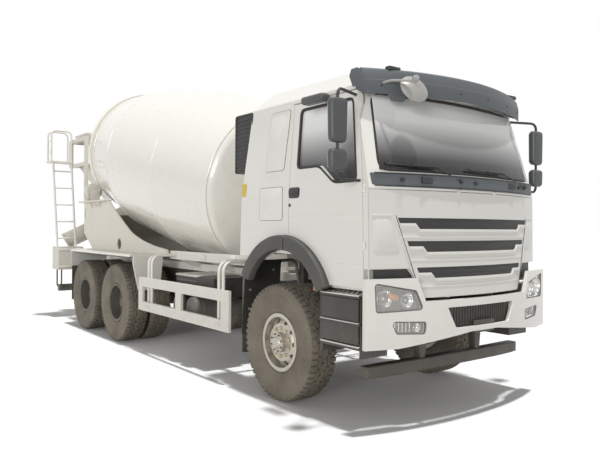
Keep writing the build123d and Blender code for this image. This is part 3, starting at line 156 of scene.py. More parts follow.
DISC_BACK = Finish("disc_back", (0.36, 0.35, 0.33), (0.42, 0.41, 0.385), 0.35, grain_depth=0.04)


class Graph:
    """A shader tree under construction."""

    def __init__(self, tree: bpy.types.NodeTree) -> None:
        self.tree = tree

    def feed(self, node: bpy.types.Node, values: dict[str | int, object]) -> None:
        """Give a node's inputs their values, or link them where the value is another node's output."""
        for label, value in values.items():
            if isinstance(value, bpy.types.NodeSocket):
                self.tree.links.new(value, node.inputs[label])
            else:
                node.inputs[label].default_value = value

    def add(self, kind: str, values: dict[str | int, object], **settings: object) -> bpy.types.NodeOutputs:
        """Add a node to the tree.

        Args:
            kind: The node's type, without the word that every type starts with.
            values: What each input gets, by the input's name or number.
            **settings: The node's own settings.

        Returns:
            The node's outputs.
        """
        node = self.tree.nodes.new(f"ShaderNode{kind}")
        for label, value in settings.items():
            setattr(node, label, value)
        self.feed(node, values)
        return node.outputs

    def maths(self, operation: str, *values: object) -> bpy.types.NodeSocket:
        """Add a sum of the values and return its result."""
        return self.add("Math", dict(enumerate(values)), operation=operation)[0]

    def on_rays(self, *rays: str) -> bpy.types.NodeSocket:
        """Return a switch that is on for each of the named kinds of ray."""
        path = self.add("LightPath", {})
        switch = path[rays[0]]
        for ray in rays[1:]:
            switch = self.maths("MAXIMUM", switch, path[ray])
        return switch


class Palette:
    """Makes the shared node groups and one material for each finish."""

    colour, number, vector = "NodeSocketColor", "NodeSocketFloat", "NodeSocketVector"
    pitches = {Relief.CHEQUER: 16.0, Relief.WEAVE: 160.0, Relief.FLUTES: 60.0}
    # Grey steps of the windows' painted sky reflection: (place up the glass, tone)
    painted_sky_steps = ((0.18, 0.08), (0.42, 0.36), (0.70, 0.80))
    mottle_scale, mottle_share = 38.0, 0.35
    dust_colour, dust_heights = (0.30, 0.26, 0.20, 1.0), {"From Min": 1.35, "From Max": 0.25}
    grain_height, relief_height, lens_height = 0.004, 0.003, 0.002

    def __init__(self) -> None:
        self.groups: dict[str, bpy.types.NodeTree] = {}
        self.made: dict[str, bpy.types.Material] = {}

    def open_group(
        self, name: str, outputs: dict[str, str], **inputs: str
    ) -> tuple[Graph, bpy.types.NodeOutputs]:
        """Start a node group with named sockets.

        Args:
            name: The group's name.
            outputs: Socket type of each output, by its name.
            **inputs: Socket type of each input, by its name.

        Returns:
            The group's graph and the sockets that carry its inputs.
        """
        tree = bpy.data.node_groups.new(name, "ShaderNodeTree")
        for way, sockets in (("INPUT", inputs), ("OUTPUT", outputs)):
            for label, kind in sockets.items():
                tree.interface.new_socket(label, in_out=way, socket_type=kind)
        self.groups[name] = tree
        return Graph(tree), tree.nodes.new("NodeGroupInput").outputs

    def close_group(self, graph: Graph, results: dict[str | int, object]) -> None:
        """Link a group's results to its outputs."""
        graph.feed(graph.tree.nodes.new("NodeGroupOutput"), results)

    def build_groups(self) -> None:
        """Make the groups for colour drift, road dust, grain and the reliefs."""
        self.build_drift()
        self.build_dust()
        self.build_grain()
        self.build_relief()

    def build_drift(self) -> None:
        """Make the group that drifts a colour in soft patches with fine mottling."""
        graph, given = self.open_group(
            "colour_drift", {"Colour": self.colour}, Place=self.vector, Colour=self.colour,
            Drift=self.colour, Size=self.number, Share=self.number
        )
        patches = graph.add("TexNoise", {"Vector": given["Place"], "Scale": given["Size"], "Detail": 4.0})
        fine = graph.add("TexNoise", {"Vector": given["Place"], "Scale": self.mottle_scale})
        blend = graph.maths("MULTIPLY_ADD", fine["Fac"], self.mottle_share, patches["Fac"])
        spread = graph.add("MapRange", {"Value": blend, "From Min": 0.45, "From Max": 0.9})
        share = graph.maths("MULTIPLY", spread[0], given["Share"])
        mix = graph.add("Mix", {"Factor": share, 6: given["Colour"], 7: given["Drift"]}, data_type="RGBA")
        self.close_group(graph, {"Colour": mix[2]})

    def build_dust(self) -> None:
        """Make the group that lays road dust over a colour near the road."""
        graph, given = self.open_group(
            "road_dust", {"Colour": self.colour}, Place=self.vector, Colour=self.colour, Amount=self.number
        )
        parts = graph.add("SeparateXYZ", {0: given["Place"]})
        height = graph.add("MapRange", {"Value": parts["Z"], **self.dust_heights})
        noise = graph.add("TexNoise", {"Vector": given["Place"], "Scale": 7.0, "Detail": 6.0})
        cover = graph.maths("MULTIPLY", height[0], noise["Fac"])
        amount = graph.maths("MULTIPLY", cover, given["Amount"])
        mixed = {"Factor": amount, 6: given["Colour"], 7: self.dust_colour}
        mix = graph.add("Mix", mixed, data_type="RGBA")
        self.close_group(graph, {"Colour": mix[2]})

    def build_grain(self) -> None:
        """Make the group that gives a fine grain's height and a roughness that wanders."""
        graph, given = self.open_group(
            "fine_grain", {"Height": self.number, "Roughness": self.number}, Place=self.vector,
            Size=self.number, Roughness=self.number, Spread=self.number
        )
        grain = graph.add("TexNoise", {"Vector": given["Place"], "Scale": given["Size"]})
        wander = graph.add("TexNoise", {"Vector": given["Place"], "Scale": 5.0})
        centred = graph.maths("SUBTRACT", wander["Fac"], 0.5)
        gloss = graph.maths("MULTIPLY_ADD", centred, given["Spread"], given["Roughness"])
        self.close_group(graph, {"Height": grain["Fac"], "Roughness": gloss})

    def build_relief(self) -> None:
        """Make the group whose height is a chequer plate, a cloth weave or upright flutes."""
        graph, given = self.open_group(
            "small_relief", {"Height": self.number}, Place=self.vector, Pitch=self.number, Across=self.number
        )
        lines = {"Vector": given["Place"], "Scale": given["Pitch"], "Distortion": 0.0}
        across, along = (graph.add("TexWave", lines, bands_direction=axis)["Fac"] for axis in "XY")
        cross = graph.maths("MULTIPLY", across, along)
        mix = graph.add("Mix", {"Factor": given["Across"], 2: along, 3: cross})
        self.close_group(graph, {"Height": mix[0]})

    def open_material(self, name: str) -> tuple[Graph, bpy.types.Node, bpy.types.NodeSocket]:
        """Start a material and return its graph, its shader and its coordinates."""
        made = bpy.data.materials.new(name)
        made.use_nodes = True
        self.made[name] = made
        graph = Graph(made.node_tree)
        shader = next(n for n in made.node_tree.nodes if n.type == "BSDF_PRINCIPLED")
        return graph, shader, graph.add("TexCoord", {})["Object"]

    def material(self, finish: Finish) -> bpy.types.Material:
        """Return the material for a finish, made once.

        Args:
            finish: The finish to make.

        Returns:
            The material with its procedural colour, roughness and bump.
        """
        if finish.name in self.made:
            return self.made[finish.name]
        graph, shader, place = self.open_material(finish.name)
        tone = graph.add(
            "Group", {
                "Place": place, "Colour": (*finish.colour, 1.0), "Drift": (*finish.drift, 1.0),
                "Size": finish.drift_size, "Share": finish.drift_share
            }, node_tree=self.groups["colour_drift"]
        )["Colour"]
        if finish.dust:
            cover = {"Place": place, "Colour": tone, "Amount": finish.dust}
            tone = graph.add("Group", cover, node_tree=self.groups["road_dust"])["Colour"]
        surface = {
            "Place": place, "Size": finish.grain_size, "Roughness": finish.roughness,
            "Spread": finish.gloss_spread
        }
        grain = graph.add("Group", surface, node_tree=self.groups["fine_grain"])
        fine = {"Strength": finish.grain_depth, "Distance": self.grain_height, "Height": grain["Height"]}
        bump = graph.add("Bump", fine)
        if finish.relief is not Relief.PLAIN:
            pitch, across = self.pitches[finish.relief], finish.relief is not Relief.FLUTES
            height = self.relief(graph, place, pitch, across)
            over = {
                "Strength": 0.5, "Distance": self.relief_height, "Height": height, "Normal": bump["Normal"]
            }
            bump = graph.add("Bump", over)
        graph.feed(shader, {
            "Base Color": tone, "Metallic": finish.metallic, "Coat Weight": finish.coat,
            "Coat Roughness": 0.08, "Roughness": grain["Roughness"], "Normal": bump["Normal"]
        })
        return self.made[finish.name]

    def relief(
        self, graph: Graph, place: bpy.types.NodeSocket, pitch: float, across: bool
    ) -> bpy.types.NodeSocket:
        """Return the height of a small relief, of two crossing waves or of flutes alone."""
        values = {"Place": place, "Pitch": pitch, "Across": float(across)}
        return graph.add("Group", values, node_tree=self.groups["small_relief"])["Height"]

    def glass(self, name: str, top: float, low: float, clear: float) -> bpy.types.Material:
        """Return window glass with a painted sky reflection: pale at its top edge and dark at its foot.

        Args:
            name: The material's name.
            top: Height at which the pale band is full.
            low: Height at which the glass is darkest.
            clear: The opacity at the foot of the glass.

        Returns:
            The glass material.
        """
        if name in self.made:
            return self.made[name]
        graph, shader, place = self.open_material(name)
        parts = graph.add("SeparateXYZ", {0: place})
        height = graph.add("MapRange", {"Value": parts["Z"], "From Min": low, "From Max": top})
        # Painted reflection: the glass's colour runs from dark at its foot to pale at its top
        pale = graph.add("ValToRGB", {"Fac": height[0]})["Color"]
        ramp = pale.node.color_ramp
        ramp.elements[0].color = (0.018, 0.018, 0.018, 1.0)
        ramp.elements[1].color = (0.92, 0.92, 0.92, 1.0)
        for spot, tone in self.painted_sky_steps:
            ramp.elements.new(spot).color = (tone, tone, tone, 1.0)
        veil = graph.add("MapRange", {"Value": height[0], "To Min": clear, "To Max": 0.98, "From Max": 0.7})
        graph.feed(shader, {
            "Metallic": 0.0, "Roughness": 0.04, "IOR": 1.5, "Base Color": pale, "Alpha": veil[0]
        })
        return self.made[name]

    def lens(self) -> bpy.types.Material:
        """Return the clear moulded lens of the lamps."""
        graph, shader, place = self.open_material("lamp_lens")
        height = self.relief(graph, place, 45.0, False)
        bump = graph.add("Bump", {"Strength": 0.3, "Distance": self.lens_height, "Height": height})
        graph.feed(shader, {
            "Base Color": (0.92, 0.92, 0.90, 1.0), "Roughness": 0.05, "Alpha": 0.22, "Normal": bump["Normal"]
        })
        return self.made["lamp_lens"]


# Outline of the cab's front at four heights: (height, half width, corner x, middle x)
CAB_OUTLINE = (
    (1.15, 1.15, 1.275, 1.48), (2.01, 1.15, 1.262, 1.45), (2.87, 1.08, 1.02, 1.20), (3.06, 0.89, 0.86, 1.01)
)
# The cab's sides lean in above the waist: its height, the leaning part's height and lean, the half width below
WAIST, LEAN_HEIGHT, LEAN, CAB_HALF = 2.01, 0.86, 0.07, 1.15
# Half width, sag and nose of the bumper's, the cowl's and the visor's bow
BUMPER_BOW, COWL_BOW, VISOR_BOW = (1.248, 0.21, 1.54), (1.12, 0.2, 1.468), (1.1, 0.26, 1.39)


def bow_x(y: float, half: float, sag: float, nose: float) -> float:
    """Return how far forward a bow stands at a distance from its middle."""
    radius = (half * half + sag * sag) / (2 * sag)
    return nose - radius + sqrt(max(radius * radius - y * y, 0.0))


def front_x(y: float, z: float) -> float:
    """Return how far forward the cab's curved front stands at a place on it."""
    for below, above in zip(CAB_OUTLINE, CAB_OUTLINE[1:]):
        if z <= above[0]:
            break
    share = (z - below[0]) / (above[0] - below[0])
    half, corner, nose = (a + (b - a) * share for a, b in zip(below[1:], above[1:]))
    return bow_x(y, half, nose - corner, nose)


def bumper_x(y: float, _: float = 0.0) -> float:
    """Return how far forward the bumper's face stands at a distance from the middle, at any height."""
    return bow_x(y, *BUMPER_BOW)


def cowl_x(y: float, _: float = 0.0) -> float:
    """Return how far forward the cowl stands at a distance from the middle, at any height."""
    return bow_x(y, *COWL_BOW)


def visor_x(y: float) -> float:
    """Return how far forward the visor's face stands at a distance from the middle."""
    return bow_x(y, *VISOR_BOW)


def side_y(z: float) -> float:
    """Return the half width of the cab's side at a height."""
    return CAB_HALF if z <= WAIST else CAB_HALF - LEAN * (z - WAIST) / LEAN_HEIGHT


def mirrored(points: tuple[Flat, ...], sign: int) -> list[Flat]:
    """Return (y, z) points on the side of the truck that the sign names."""
    return [(sign * y, z) for y, z in points]


def on_front(points: list[Flat], face: Face, stand: float, closed: bool = True) -> list[Point]:
    """Return a line of (y, z) points, cut short and laid on a curved front."""
    run = [*points, points[0]] if closed else points
    route = []
    for (y0, z0), (y1, z1) in zip(run, run[1:]):
        cuts = max(1, int(sqrt((y1 - y0) ** 2 + (z1 - z0) ** 2) / LONGEST_CUT))
        for n in range(cuts):
            y, z = y0 + (y1 - y0) * n / cuts, z0 + (z1 - z0) * n / cuts
            route.append((face(y, z) + stand, y, z))
    if not closed:
        y, z = run[-1]
        route.append((face(y, z) + stand, y, z))
    return route


def turn_corner(before: Vector, corner: Vector, after: Vector, near: float, steps: int) -> list[Vector]:
    """Return the points of a curve that turns a corner from a distance before it to the same after it."""
    start = corner + (before - corner).normalized() * near
    end = corner + (after - corner).normalized() * near
    shares = [n / steps for n in range(steps + 1)]
    return [start * (1 - t) ** 2 + corner * 2 * t * (1 - t) + end * t**2 for t in shares]


def round_outline(points: list[Flat], radius: float, steps: int = 4) -> list[Flat]:
    """Return a closed outline with its corners rounded."""
    made = []
    count = len(points)
    for n in range(count):
        before, corner, after = (Vector(points[(n + k) % count]) for k in (-1, 0, 1))
        near = min(radius, (before - corner).length / 2.1, (after - corner).length / 2.1)
        made += [(spot.x, spot.y) for spot in turn_corner(before, corner, after, near, steps)]
    return made


@dataclass
class Bench:
    """The modelling steps that every sub-assembly starts from."""

    palette: Palette

    def clear(self) -> None:
        """Deselect everything, outside edit mode."""
        bpy.ops.object.select_all(action="DESELECT")

    def pick(self, *objects: Piece) -> None:
        """Select these objects alone, the first one active."""
        self.clear()
        for one in objects:
            one.select_set(True)
        bpy.context.view_layer.objects.active = objects[0]

    def trace(self, points: list[Point], closed: bool = False) -> Piece:
        """Draw a chain of edges through the points and stay in edit mode.

        Args:
            points: The chain's points in order.
            closed: Whether the chain comes back to its first point.

        Returns:
            The new object, in edit mode with its chain selected.
        """
        self.clear()
        bpy.ops.mesh.primitive_plane_add(size=0.01, location=points[0])
        bpy.ops.object.mode_set(mode="EDIT")
        bpy.ops.mesh.select_mode(type="VERT")
        bpy.ops.mesh.merge(type="CENTER")
        run = [*points, points[0]] if closed else points
        for here, there in zip(run, run[1:]):
            step = Vector(there) - Vector(here)
            bpy.ops.mesh.extrude_vertices_move(TRANSFORM_OT_translate={"value": step})
        bpy.ops.mesh.select_all(action="SELECT")
        if closed:
            bpy.ops.mesh.remove_doubles(threshold=0.00002)
        return bpy.context.active_object

    def leave(self) -> Piece:
        """Leave edit mode with doubles merged and normals turned outwards, and return the object."""
        bpy.ops.mesh.select_all(action="SELECT")
        bpy.ops.mesh.remove_doubles(threshold=0.00001)
        bpy.ops.mesh.normals_make_consistent(inside=False)
        bpy.ops.object.mode_set(mode="OBJECT")
        return bpy.context.active_object

    def plate(self, points: list[Point], thickness: Point, bevel: float = 0.0) -> Piece:
        """Model a flat plate from its outline.

        Args:
            points: The outline's corners.
            thickness: How far and in which direction the plate is thick.
            bevel: The width of its rounded edges.

        Returns:
            The plate.
        """
        self.trace(points, closed=True)
        bpy.ops.mesh.edge_face_add()
        bpy.ops.mesh.extrude_region_move(TRANSFORM_OT_translate={"value": thickness})
        made = self.leave()
        return self.soften(made, bevel) if bevel else made

    def slab(self, low: Point, high: Point, bevel: float, segments: int = 3) -> Piece:
        """Model a block with rounded edges between two corners."""
        self.clear()
        middle = (Vector(low) + Vector(high)) / 2
        bpy.ops.mesh.primitive_cube_add(size=1.0, location=middle)
        bpy.ops.object.mode_set(mode="EDIT")
        bpy.ops.transform.resize(value=Vector(high) - Vector(low))
        made = self.leave()
        return self.soften(made, bevel, segments)

    def turn_y(self, profile: list[Flat], steps: int = 48) -> Piece:
        """Turn a profile of (radius, y) points about the Y axis through the origin."""
        self.trace([(r, y, 0.0) for r, y in profile])
        bpy.ops.mesh.spin(steps=steps, angle=2 * pi, center=(0, 0, 0), axis=(0, 1, 0))
        return self.smooth(self.leave())

    def soften(self, made: Piece, width: float, segments: int = 2) -> Piece:
        """Round an object's hard edges and shade it smooth."""
        self.pick(made)
        modifier = made.modifiers.new("soft_edges", "BEVEL")
        modifier.width = width
        modifier.segments = segments
        modifier.limit_method = "ANGLE"
        modifier.angle_limit = radians(32)
        bpy.ops.object.modifier_apply(modifier=modifier.name)
        return self.smooth(made)

    def smooth(self, made: Piece, angle: float = 35.0) -> Piece:
        """Shade an object smooth except at hard edges."""
        self.pick(made)
        bpy.ops.object.shade_smooth_by_angle(angle=radians(angle))
        return made

    def rounded(self, points: list[Point], bend: float) -> list[Vector]:
        """Return a route whose corners are turned with a radius."""
        corners = [Vector(p) for p in points]
        route = [corners[0]]
        for before, corner, after in zip(corners[:-2], corners[1:-1], corners[2:]):
            near = min(bend, (before - corner).length / 2.05, (after - corner).length / 2.05)
            route += turn_corner(before, corner, after, near, 5)
        return [*route, corners[-1]]

    def tube(
        self, points: list[Point], radius: float, bend: float = 0.0, closed: bool = False, sides: int = 2
    ) -> Piece:
        """Model a round tube along a route.

        Args:
            points: The route's points.
            radius: The tube's radius.
            bend: The radius of its turned corners.
            closed: Whether the tube is a loop.
            sides: The curve's bevel resolution.

        Returns:
            The tube as a mesh.
        """
        route = self.rounded(points, bend) if bend else [Vector(p) for p in points]
        line = bpy.data.curves.new("tube", "CURVE")
        line.dimensions = "3D"
        line.bevel_depth = radius
        line.bevel_resolution = sides
        line.use_fill_caps = not closed
        run = line.splines.new("POLY")
        run.points.add(len(route) - 1)
        for spot, place in zip(run.points, route):
            spot.co = (*place, 1.0)
        run.use_cyclic_u = closed
        made = bpy.data.objects.new("tube", line)
        bpy.context.scene.collection.objects.link(made)
        self.pick(made)
        bpy.ops.object.convert(target="MESH")
        return self.smooth(bpy.context.active_object)

    def join(self, pieces: list[Piece]) -> Piece:
        """Join several objects into one."""
        for one in pieces:
            self.settle(one)
        self.pick(*pieces)
        if len(pieces) > 1:
            bpy.ops.object.join()
        return bpy.context.active_object

    def skin(self, rings: list[list[Point]]) -> Piece:
        """Return a capped shell through rings of the same number of points."""
        count = len(rings[0])
        verts = [point for ring in rings for point in ring]
        faces = [tuple(range(count)), tuple(range(len(verts) - 1, len(verts) - count - 1, -1))]
        for n in range(len(rings) - 1):
            for k in range(count):
                a, b = n * count + k, n * count + (k + 1) % count
                faces.append((a, a + count, b + count, b))
        mesh = bpy.data.meshes.new("skin")
        mesh.from_pydata(verts, [], faces)
        made = bpy.data.objects.new("skin", mesh)
        bpy.context.collection.objects.link(made)
        self.pick(made)
        bpy.ops.object.mode_set(mode="EDIT")
        bpy.ops.mesh.select_all(action="SELECT")
        return self.smooth(self.leave())

    def settle(self, made: Piece) -> Piece:
        """Put an object's place, turn and size into its mesh."""
        self.pick(made)
        bpy.ops.object.transform_apply(location=True, rotation=True, scale=True)
        return made

    def copy(self, made: Piece, move: Matrix) -> Piece:
        """Return a copy with its own mesh, moved by a matrix."""
        twin = made.copy()
        twin.data = made.data.copy()
        bpy.context.scene.collection.objects.link(twin)
        twin.data.transform(move)
        if move.determinant() < 0:
            twin.data.flip_normals()
        return twin

    def face_plate(self, outline: list[Flat], thick: float, bevel: float = 0.0, x: float = 0.0) -> Piece:
        """Model a plate that faces forward, from (y, z) points at x."""
        return self.plate([(x, y, z) for y, z in outline], (thick, 0, 0), bevel)

    def side_slab(self, sign: int, x: Flat, y: Flat, z: Flat, bevel: float) -> Piece:
        """Model a block with rounded edges on one side of the truck.

        Args:
            sign: The side, as the sign of Y.
            x: Its two ends along the truck.
            y: How far from the truck's middle it starts and ends.
            z: Its foot and its top.
            bevel: The width of its rounded edges.

        Returns:
            The block.
        """
        low, high = sorted((sign * y[0], sign * y[1]))
        return self.slab((x[0], low, z[0]), (x[1], high, z[1]), bevel)

    def bend(self, made: Piece, face: Face, stand: float, pitch: float = 0.07) -> Piece:
        """Bend a flat piece, drawn at x = 0, onto a curved front.

        Args:
            made: The flat piece.
            face: The function that gives x from y and z.
            stand: How far the piece stands ahead of that face.
            pitch: The distance between the cuts that let it bend.

        Returns:
            The bent piece.
        """
        self.settle(made)
        reach = [vertex.co.y for vertex in made.data.vertices]
        bpy.ops.object.mode_set(mode="EDIT")
        place = min(reach) + pitch
        while place < max(reach) - 0.01:
            bpy.ops.mesh.select_all(action="SELECT")
            bpy.ops.mesh.bisect(plane_co=(0, place, 0), plane_no=(0, 1, 0))
            place += pitch
        self.leave()
        for vertex in made.data.vertices:
            vertex.co.x += face(vertex.co.y, vertex.co.z) + stand
        return self.smooth(made)

    def spun(self, profile: list[Flat], place: Matrix, steps: int) -> Piece:
        """Turn a profile about the Y axis and move the body to its place."""
        made = self.turn_y(profile, steps)
        moved = self.copy(made, place)
        bpy.data.objects.remove(made)
        return moved

    def nuts(self, places: list[Point], out: Point, radius: float, height: float) -> Piece:
        """Model hexagon heads at the places, all facing one way.

        Args:
            places: The middle of each head's seat.
            out: The direction that the heads stand out in.
            radius: Half of a head's width over its corners.
            height: How far a head stands out.

        Returns:
            The heads as one object.
        """
        self.clear()
        middle = (0, 0, height / 2)
        bpy.ops.mesh.primitive_cylinder_add(vertices=6, radius=radius, depth=height, location=middle)
        head = self.soften(self.settle(bpy.context.active_object), height * 0.15, 1)
        turn = Vector((0, 0, 1)).rotation_difference(Vector(out)).to_matrix().to_4x4()
        self.settle(head)
        heads = [self.copy(head, Matrix.Translation(p) @ turn) for p in places]
        bpy.data.objects.remove(head)
        return self.join(heads)

    def keep(
        self, made: Piece | list[Piece], name: str, body: str, finish: Finish | bpy.types.Material, slot: str,
        stands_for: tuple[str, ...] = ()
    ) -> Piece:
        """Finish a piece: its name, place, material and body.

        Args:
            made: The modelled object, placed from the front axle, or the objects to join.
            name: The piece's name.
            body: The CAD body that it rides on.
            finish: Its finish, or a ready material.
            slot: Not used.
            stands_for: The CAD nodes that it replaces.

        Returns:
            The finished piece.
        """
        made = self.join(made) if isinstance(made, list) else made
        self.settle(made)
        made.data.transform(Matrix.Translation((AXLE_X, 0, 0)))
        made.name = made.data.name = name
        made.data.materials.clear()
        made.data.materials.append(self.palette.material(finish) if isinstance(finish, Finish) else finish)
        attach(made, body)
        if stands_for:
            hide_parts(*stands_for)
        LOG.info("%s rides on %s, %d faces", name, body, len(made.data.polygons))
        return made


@dataclass
class Tyre(Bench):
    """A road tyre with shoulder lugs and staggered blocks, turned about the Y axis."""

    groove: float = 0.015
    lugs: int = 56
    block_radius: float = 0.528
    shoulder: float = 0.078
    outer_rib: Flat = (0.040, 0.068)
    inner_rib: Flat = (0.006, 0.030)

    def profile(self) -> list[Flat]:
        """Return the section as (radius, y) points, with the tread at the depth of its grooves."""
        floor = TYRE_RADIUS - self.groove
        right = [
            (0.256, -0.105), (0.280, -0.107), (0.298, -0.126), (0.304, -0.127), (0.340, -0.140),
            (0.380, -0.1485), (0.425, -0.1515), (0.452, -0.152), (0.456, -0.1495), (0.490, -0.1490),
            (0.5205, -0.146), (0.5355, -0.138),
            *((floor, -y) for y in (0.1125, self.shoulder, *self.outer_rib[::-1], *self.inner_rib[::-1]))
        ]
        return [*right, *((r, -y) for r, y in reversed(right))]

    def model(self) -> Piece:
        """Return the tyre about the origin, its tread blocks raised to the full radius."""
        made = self.settle(self.turn_y(self.profile(), self.lugs * 3))
        bpy.ops.object.mode_set(mode="EDIT")
        bpy.ops.mesh.select_mode(type="FACE")
        bpy.ops.mesh.select_all(action="DESELECT")
        bpy.ops.object.mode_set(mode="OBJECT")
        for face in made.data.polygons:
            face.select = self.is_block(Vector(face.center))
        bpy.ops.object.mode_set(mode="EDIT")
        bpy.ops.mesh.extrude_region_shrink_fatten(
            MESH_OT_extrude_region={"use_normal_flip": False},
            TRANSFORM_OT_shrink_fatten={"value": self.groove}
        )
        bpy.ops.mesh.select_all(action="SELECT")
        bpy.ops.object.mode_set(mode="OBJECT")
        return self.smooth(made, 30.0)

    def is_block(self, middle: Vector) -> bool:
        """Return whether a face of the turned body belongs to a tread block."""
        if sqrt(middle.x**2 + middle.z**2) < self.block_radius:
            return False
        place = int((atan2(middle.z, middle.x) + pi) / (2 * pi) * self.lugs * 3 + 0.5)
        out, left = abs(middle.y), middle.y > 0
        if out > self.shoulder:
            return place % 3 != 0
        if self.outer_rib[0] < out < self.outer_rib[1]:
            return (place + (1 if left else 2)) % 6 != 0
        if self.inner_rib[0] < out < self.inner_rib[1]:
            return (place + (3 if left else 5)) % 6 != 0
        return out < self.inner_rib[0]


@dataclass
class Wheels(Bench):
    """The tyres, the wheel nuts, the hub caps and the bright lips of the rear rims."""

    front_middle: float = 1.011
    rear_middle: float = 0.915
    twin_half: float = 0.1725
    nuts_each: tuple[int, float] = (10, 0.0185)
    bolts_each: tuple[int, float] = (8, 0.009)
    first_nut: float = 0.3
    front_nuts: Flat = (0.094, 0.1375)
    front_bolts: Flat = (0.149, 0.082)
    rear_nuts: Flat = (0.012, 0.148)
    rear_bolts: Flat = (0.205, 0.070)
    rim_half: float = 0.120

    def build(self) -> None:
        """Model one tyre and place a copy of it wherever a wheel stands."""
        tyre = Tyre(self.palette).model()
        axles = (("mid", -WHEELBASE), ("rear", -WHEELBASE - BOGIE_SPREAD))
        for side in Side:
            self.front_tyre(tyre, side)
            for axle, x in axles:
                self.rear_tyres(tyre, side, axle, x)
            self.front_hub(side)
            for axle, x in axles:
                self.rear_hub(side, axle, x)
        bpy.data.objects.remove(tyre)

    def front_tyre(self, tyre: Piece, side: Side) -> None:
        """Place a front tyre over its CAD tyre."""
        made = self.copy(tyre, Matrix.Translation((0, side.value * self.front_middle, TYRE_RADIUS)))
        covers = (f"front_tyre_{side.tag}",)
        self.keep(made, f"front_tread_{side.tag}", f"front_wheel_{side.tag}", RUBBER, "rubber_tyre", covers)

    def rear_tyres(self, tyre: Piece, side: Side, axle: str, x: float) -> None:
        """Place a pair of twin tyres over their CAD tyres."""
        pair = [
            self.copy(tyre, Matrix.Translation((x, side.value * (self.rear_middle + shift), TYRE_RADIUS)))
            for shift in (-self.twin_half, self.twin_half)
        ]
        name, body, covers = (f"{axle}_{part}_{side.tag}" for part in ("treads", "wheels", "tyres"))
        self.keep(pair, name, body, RUBBER, "rubber_tyre", (covers,))

    def nut_ring(self, x: float, middle: float, side: Side, ring: Flat, each: tuple[int, float]) -> Piece:
        """Return wheel nuts with their stud ends on a circle.

        Args:
            x: The wheel's middle along the truck.
            middle: The wheel's middle across the truck.
            side: The side that the nuts face.
            ring: How far outside that middle the nuts sit, and the radius of their circle.
            each: The number of nuts and half of a nut's width.

        Returns:
            The nuts as one object.
        """
        (seat, circle), (count, size) = ring, each
        turns = [2 * pi * n / count + self.first_nut for n in range(count)]
        y = side.value * (middle + seat)
        places = [(x + circle * cos(t), y, TYRE_RADIUS + circle * sin(t)) for t in turns]
        out = (0, side.value, 0)
        nuts = self.nuts(places, out, size, size * 1.1)
        studs = self.nuts(places, out, size * 0.5, size * 1.9)
        return self.join([nuts, studs])

    def turned(self, profile: list[Flat], side: Side, x: float, middle: float, steps: int) -> Piece:
        """Return a part turned about a wheel's axle, its profile given outwards from the wheel's middle."""
        place = Matrix.Translation((x, side.value * middle, TYRE_RADIUS))
        if side is Side.RIGHT:
            place = place @ Matrix.Scale(-1, 4, (0, 1, 0))
        return self.spun(profile, place, steps)

    def front_hub(self, side: Side) -> None:
        """Model the front wheel's nuts and its bolted hub cap."""
        body = f"front_wheel_{side.tag}"
        nuts = self.nut_ring(0.0, self.front_middle, side, self.front_nuts, self.nuts_each)
        self.keep(nuts, f"front_nuts_{side.tag}", body, NUT_METAL, "silver_rim")
        cap = [
            (0.0, 0.171), (0.030, 0.170), (0.047, 0.163), (0.052, 0.154), (0.066, 0.153), (0.099, 0.1475),
            (0.101, 0.142), (0.101, 0.125)
        ]
        made = self.turned(cap, side, 0.0, self.front_middle, 40)
        bolts = self.nut_ring(0.0, self.front_middle, side, self.front_bolts, self.bolts_each)
        self.keep([made, bolts], f"front_hub_cap_{side.tag}", body, GREY_RIM, "grey_rim")

    def rear_hub(self, side: Side, axle: str, x: float) -> None:
        """Model a rear hub's nuts, its axle flange and the bright lip of the outer rim."""
        body = f"{axle}_wheels_{side.tag}"
        nuts = self.nut_ring(x, self.rear_middle, side, self.rear_nuts, self.nuts_each)
        flange = [
            (0.0, 0.212), (0.034, 0.211), (0.044, 0.2075), (0.078, 0.2065), (0.0965, 0.2), (0.0975, 0.180)
        ]
        cap = self.turned(flange, side, x, self.rear_middle, 40)
        bolts = self.nut_ring(x, self.rear_middle, side, self.rear_bolts, self.bolts_each)
        self.keep([nuts, cap, bolts], f"{axle}_hub_{side.tag}", body, GREY_RIM, "grey_rim")
        edge = self.twin_half + self.rim_half
        lip = [
            (0.240, edge - 0.050), (0.2405, edge - 0.004), (0.245, edge + 0.0008), (0.262, edge + 0.003),
            (0.277, edge + 0.002), (0.2815, edge - 0.004), (0.281, edge - 0.012)
        ]
        made = self.turned(lip, side, x, self.rear_middle, 64)
        self.keep(made, f"{axle}_rim_lip_{side.tag}", body, RIM_LIP, "grey_rim")


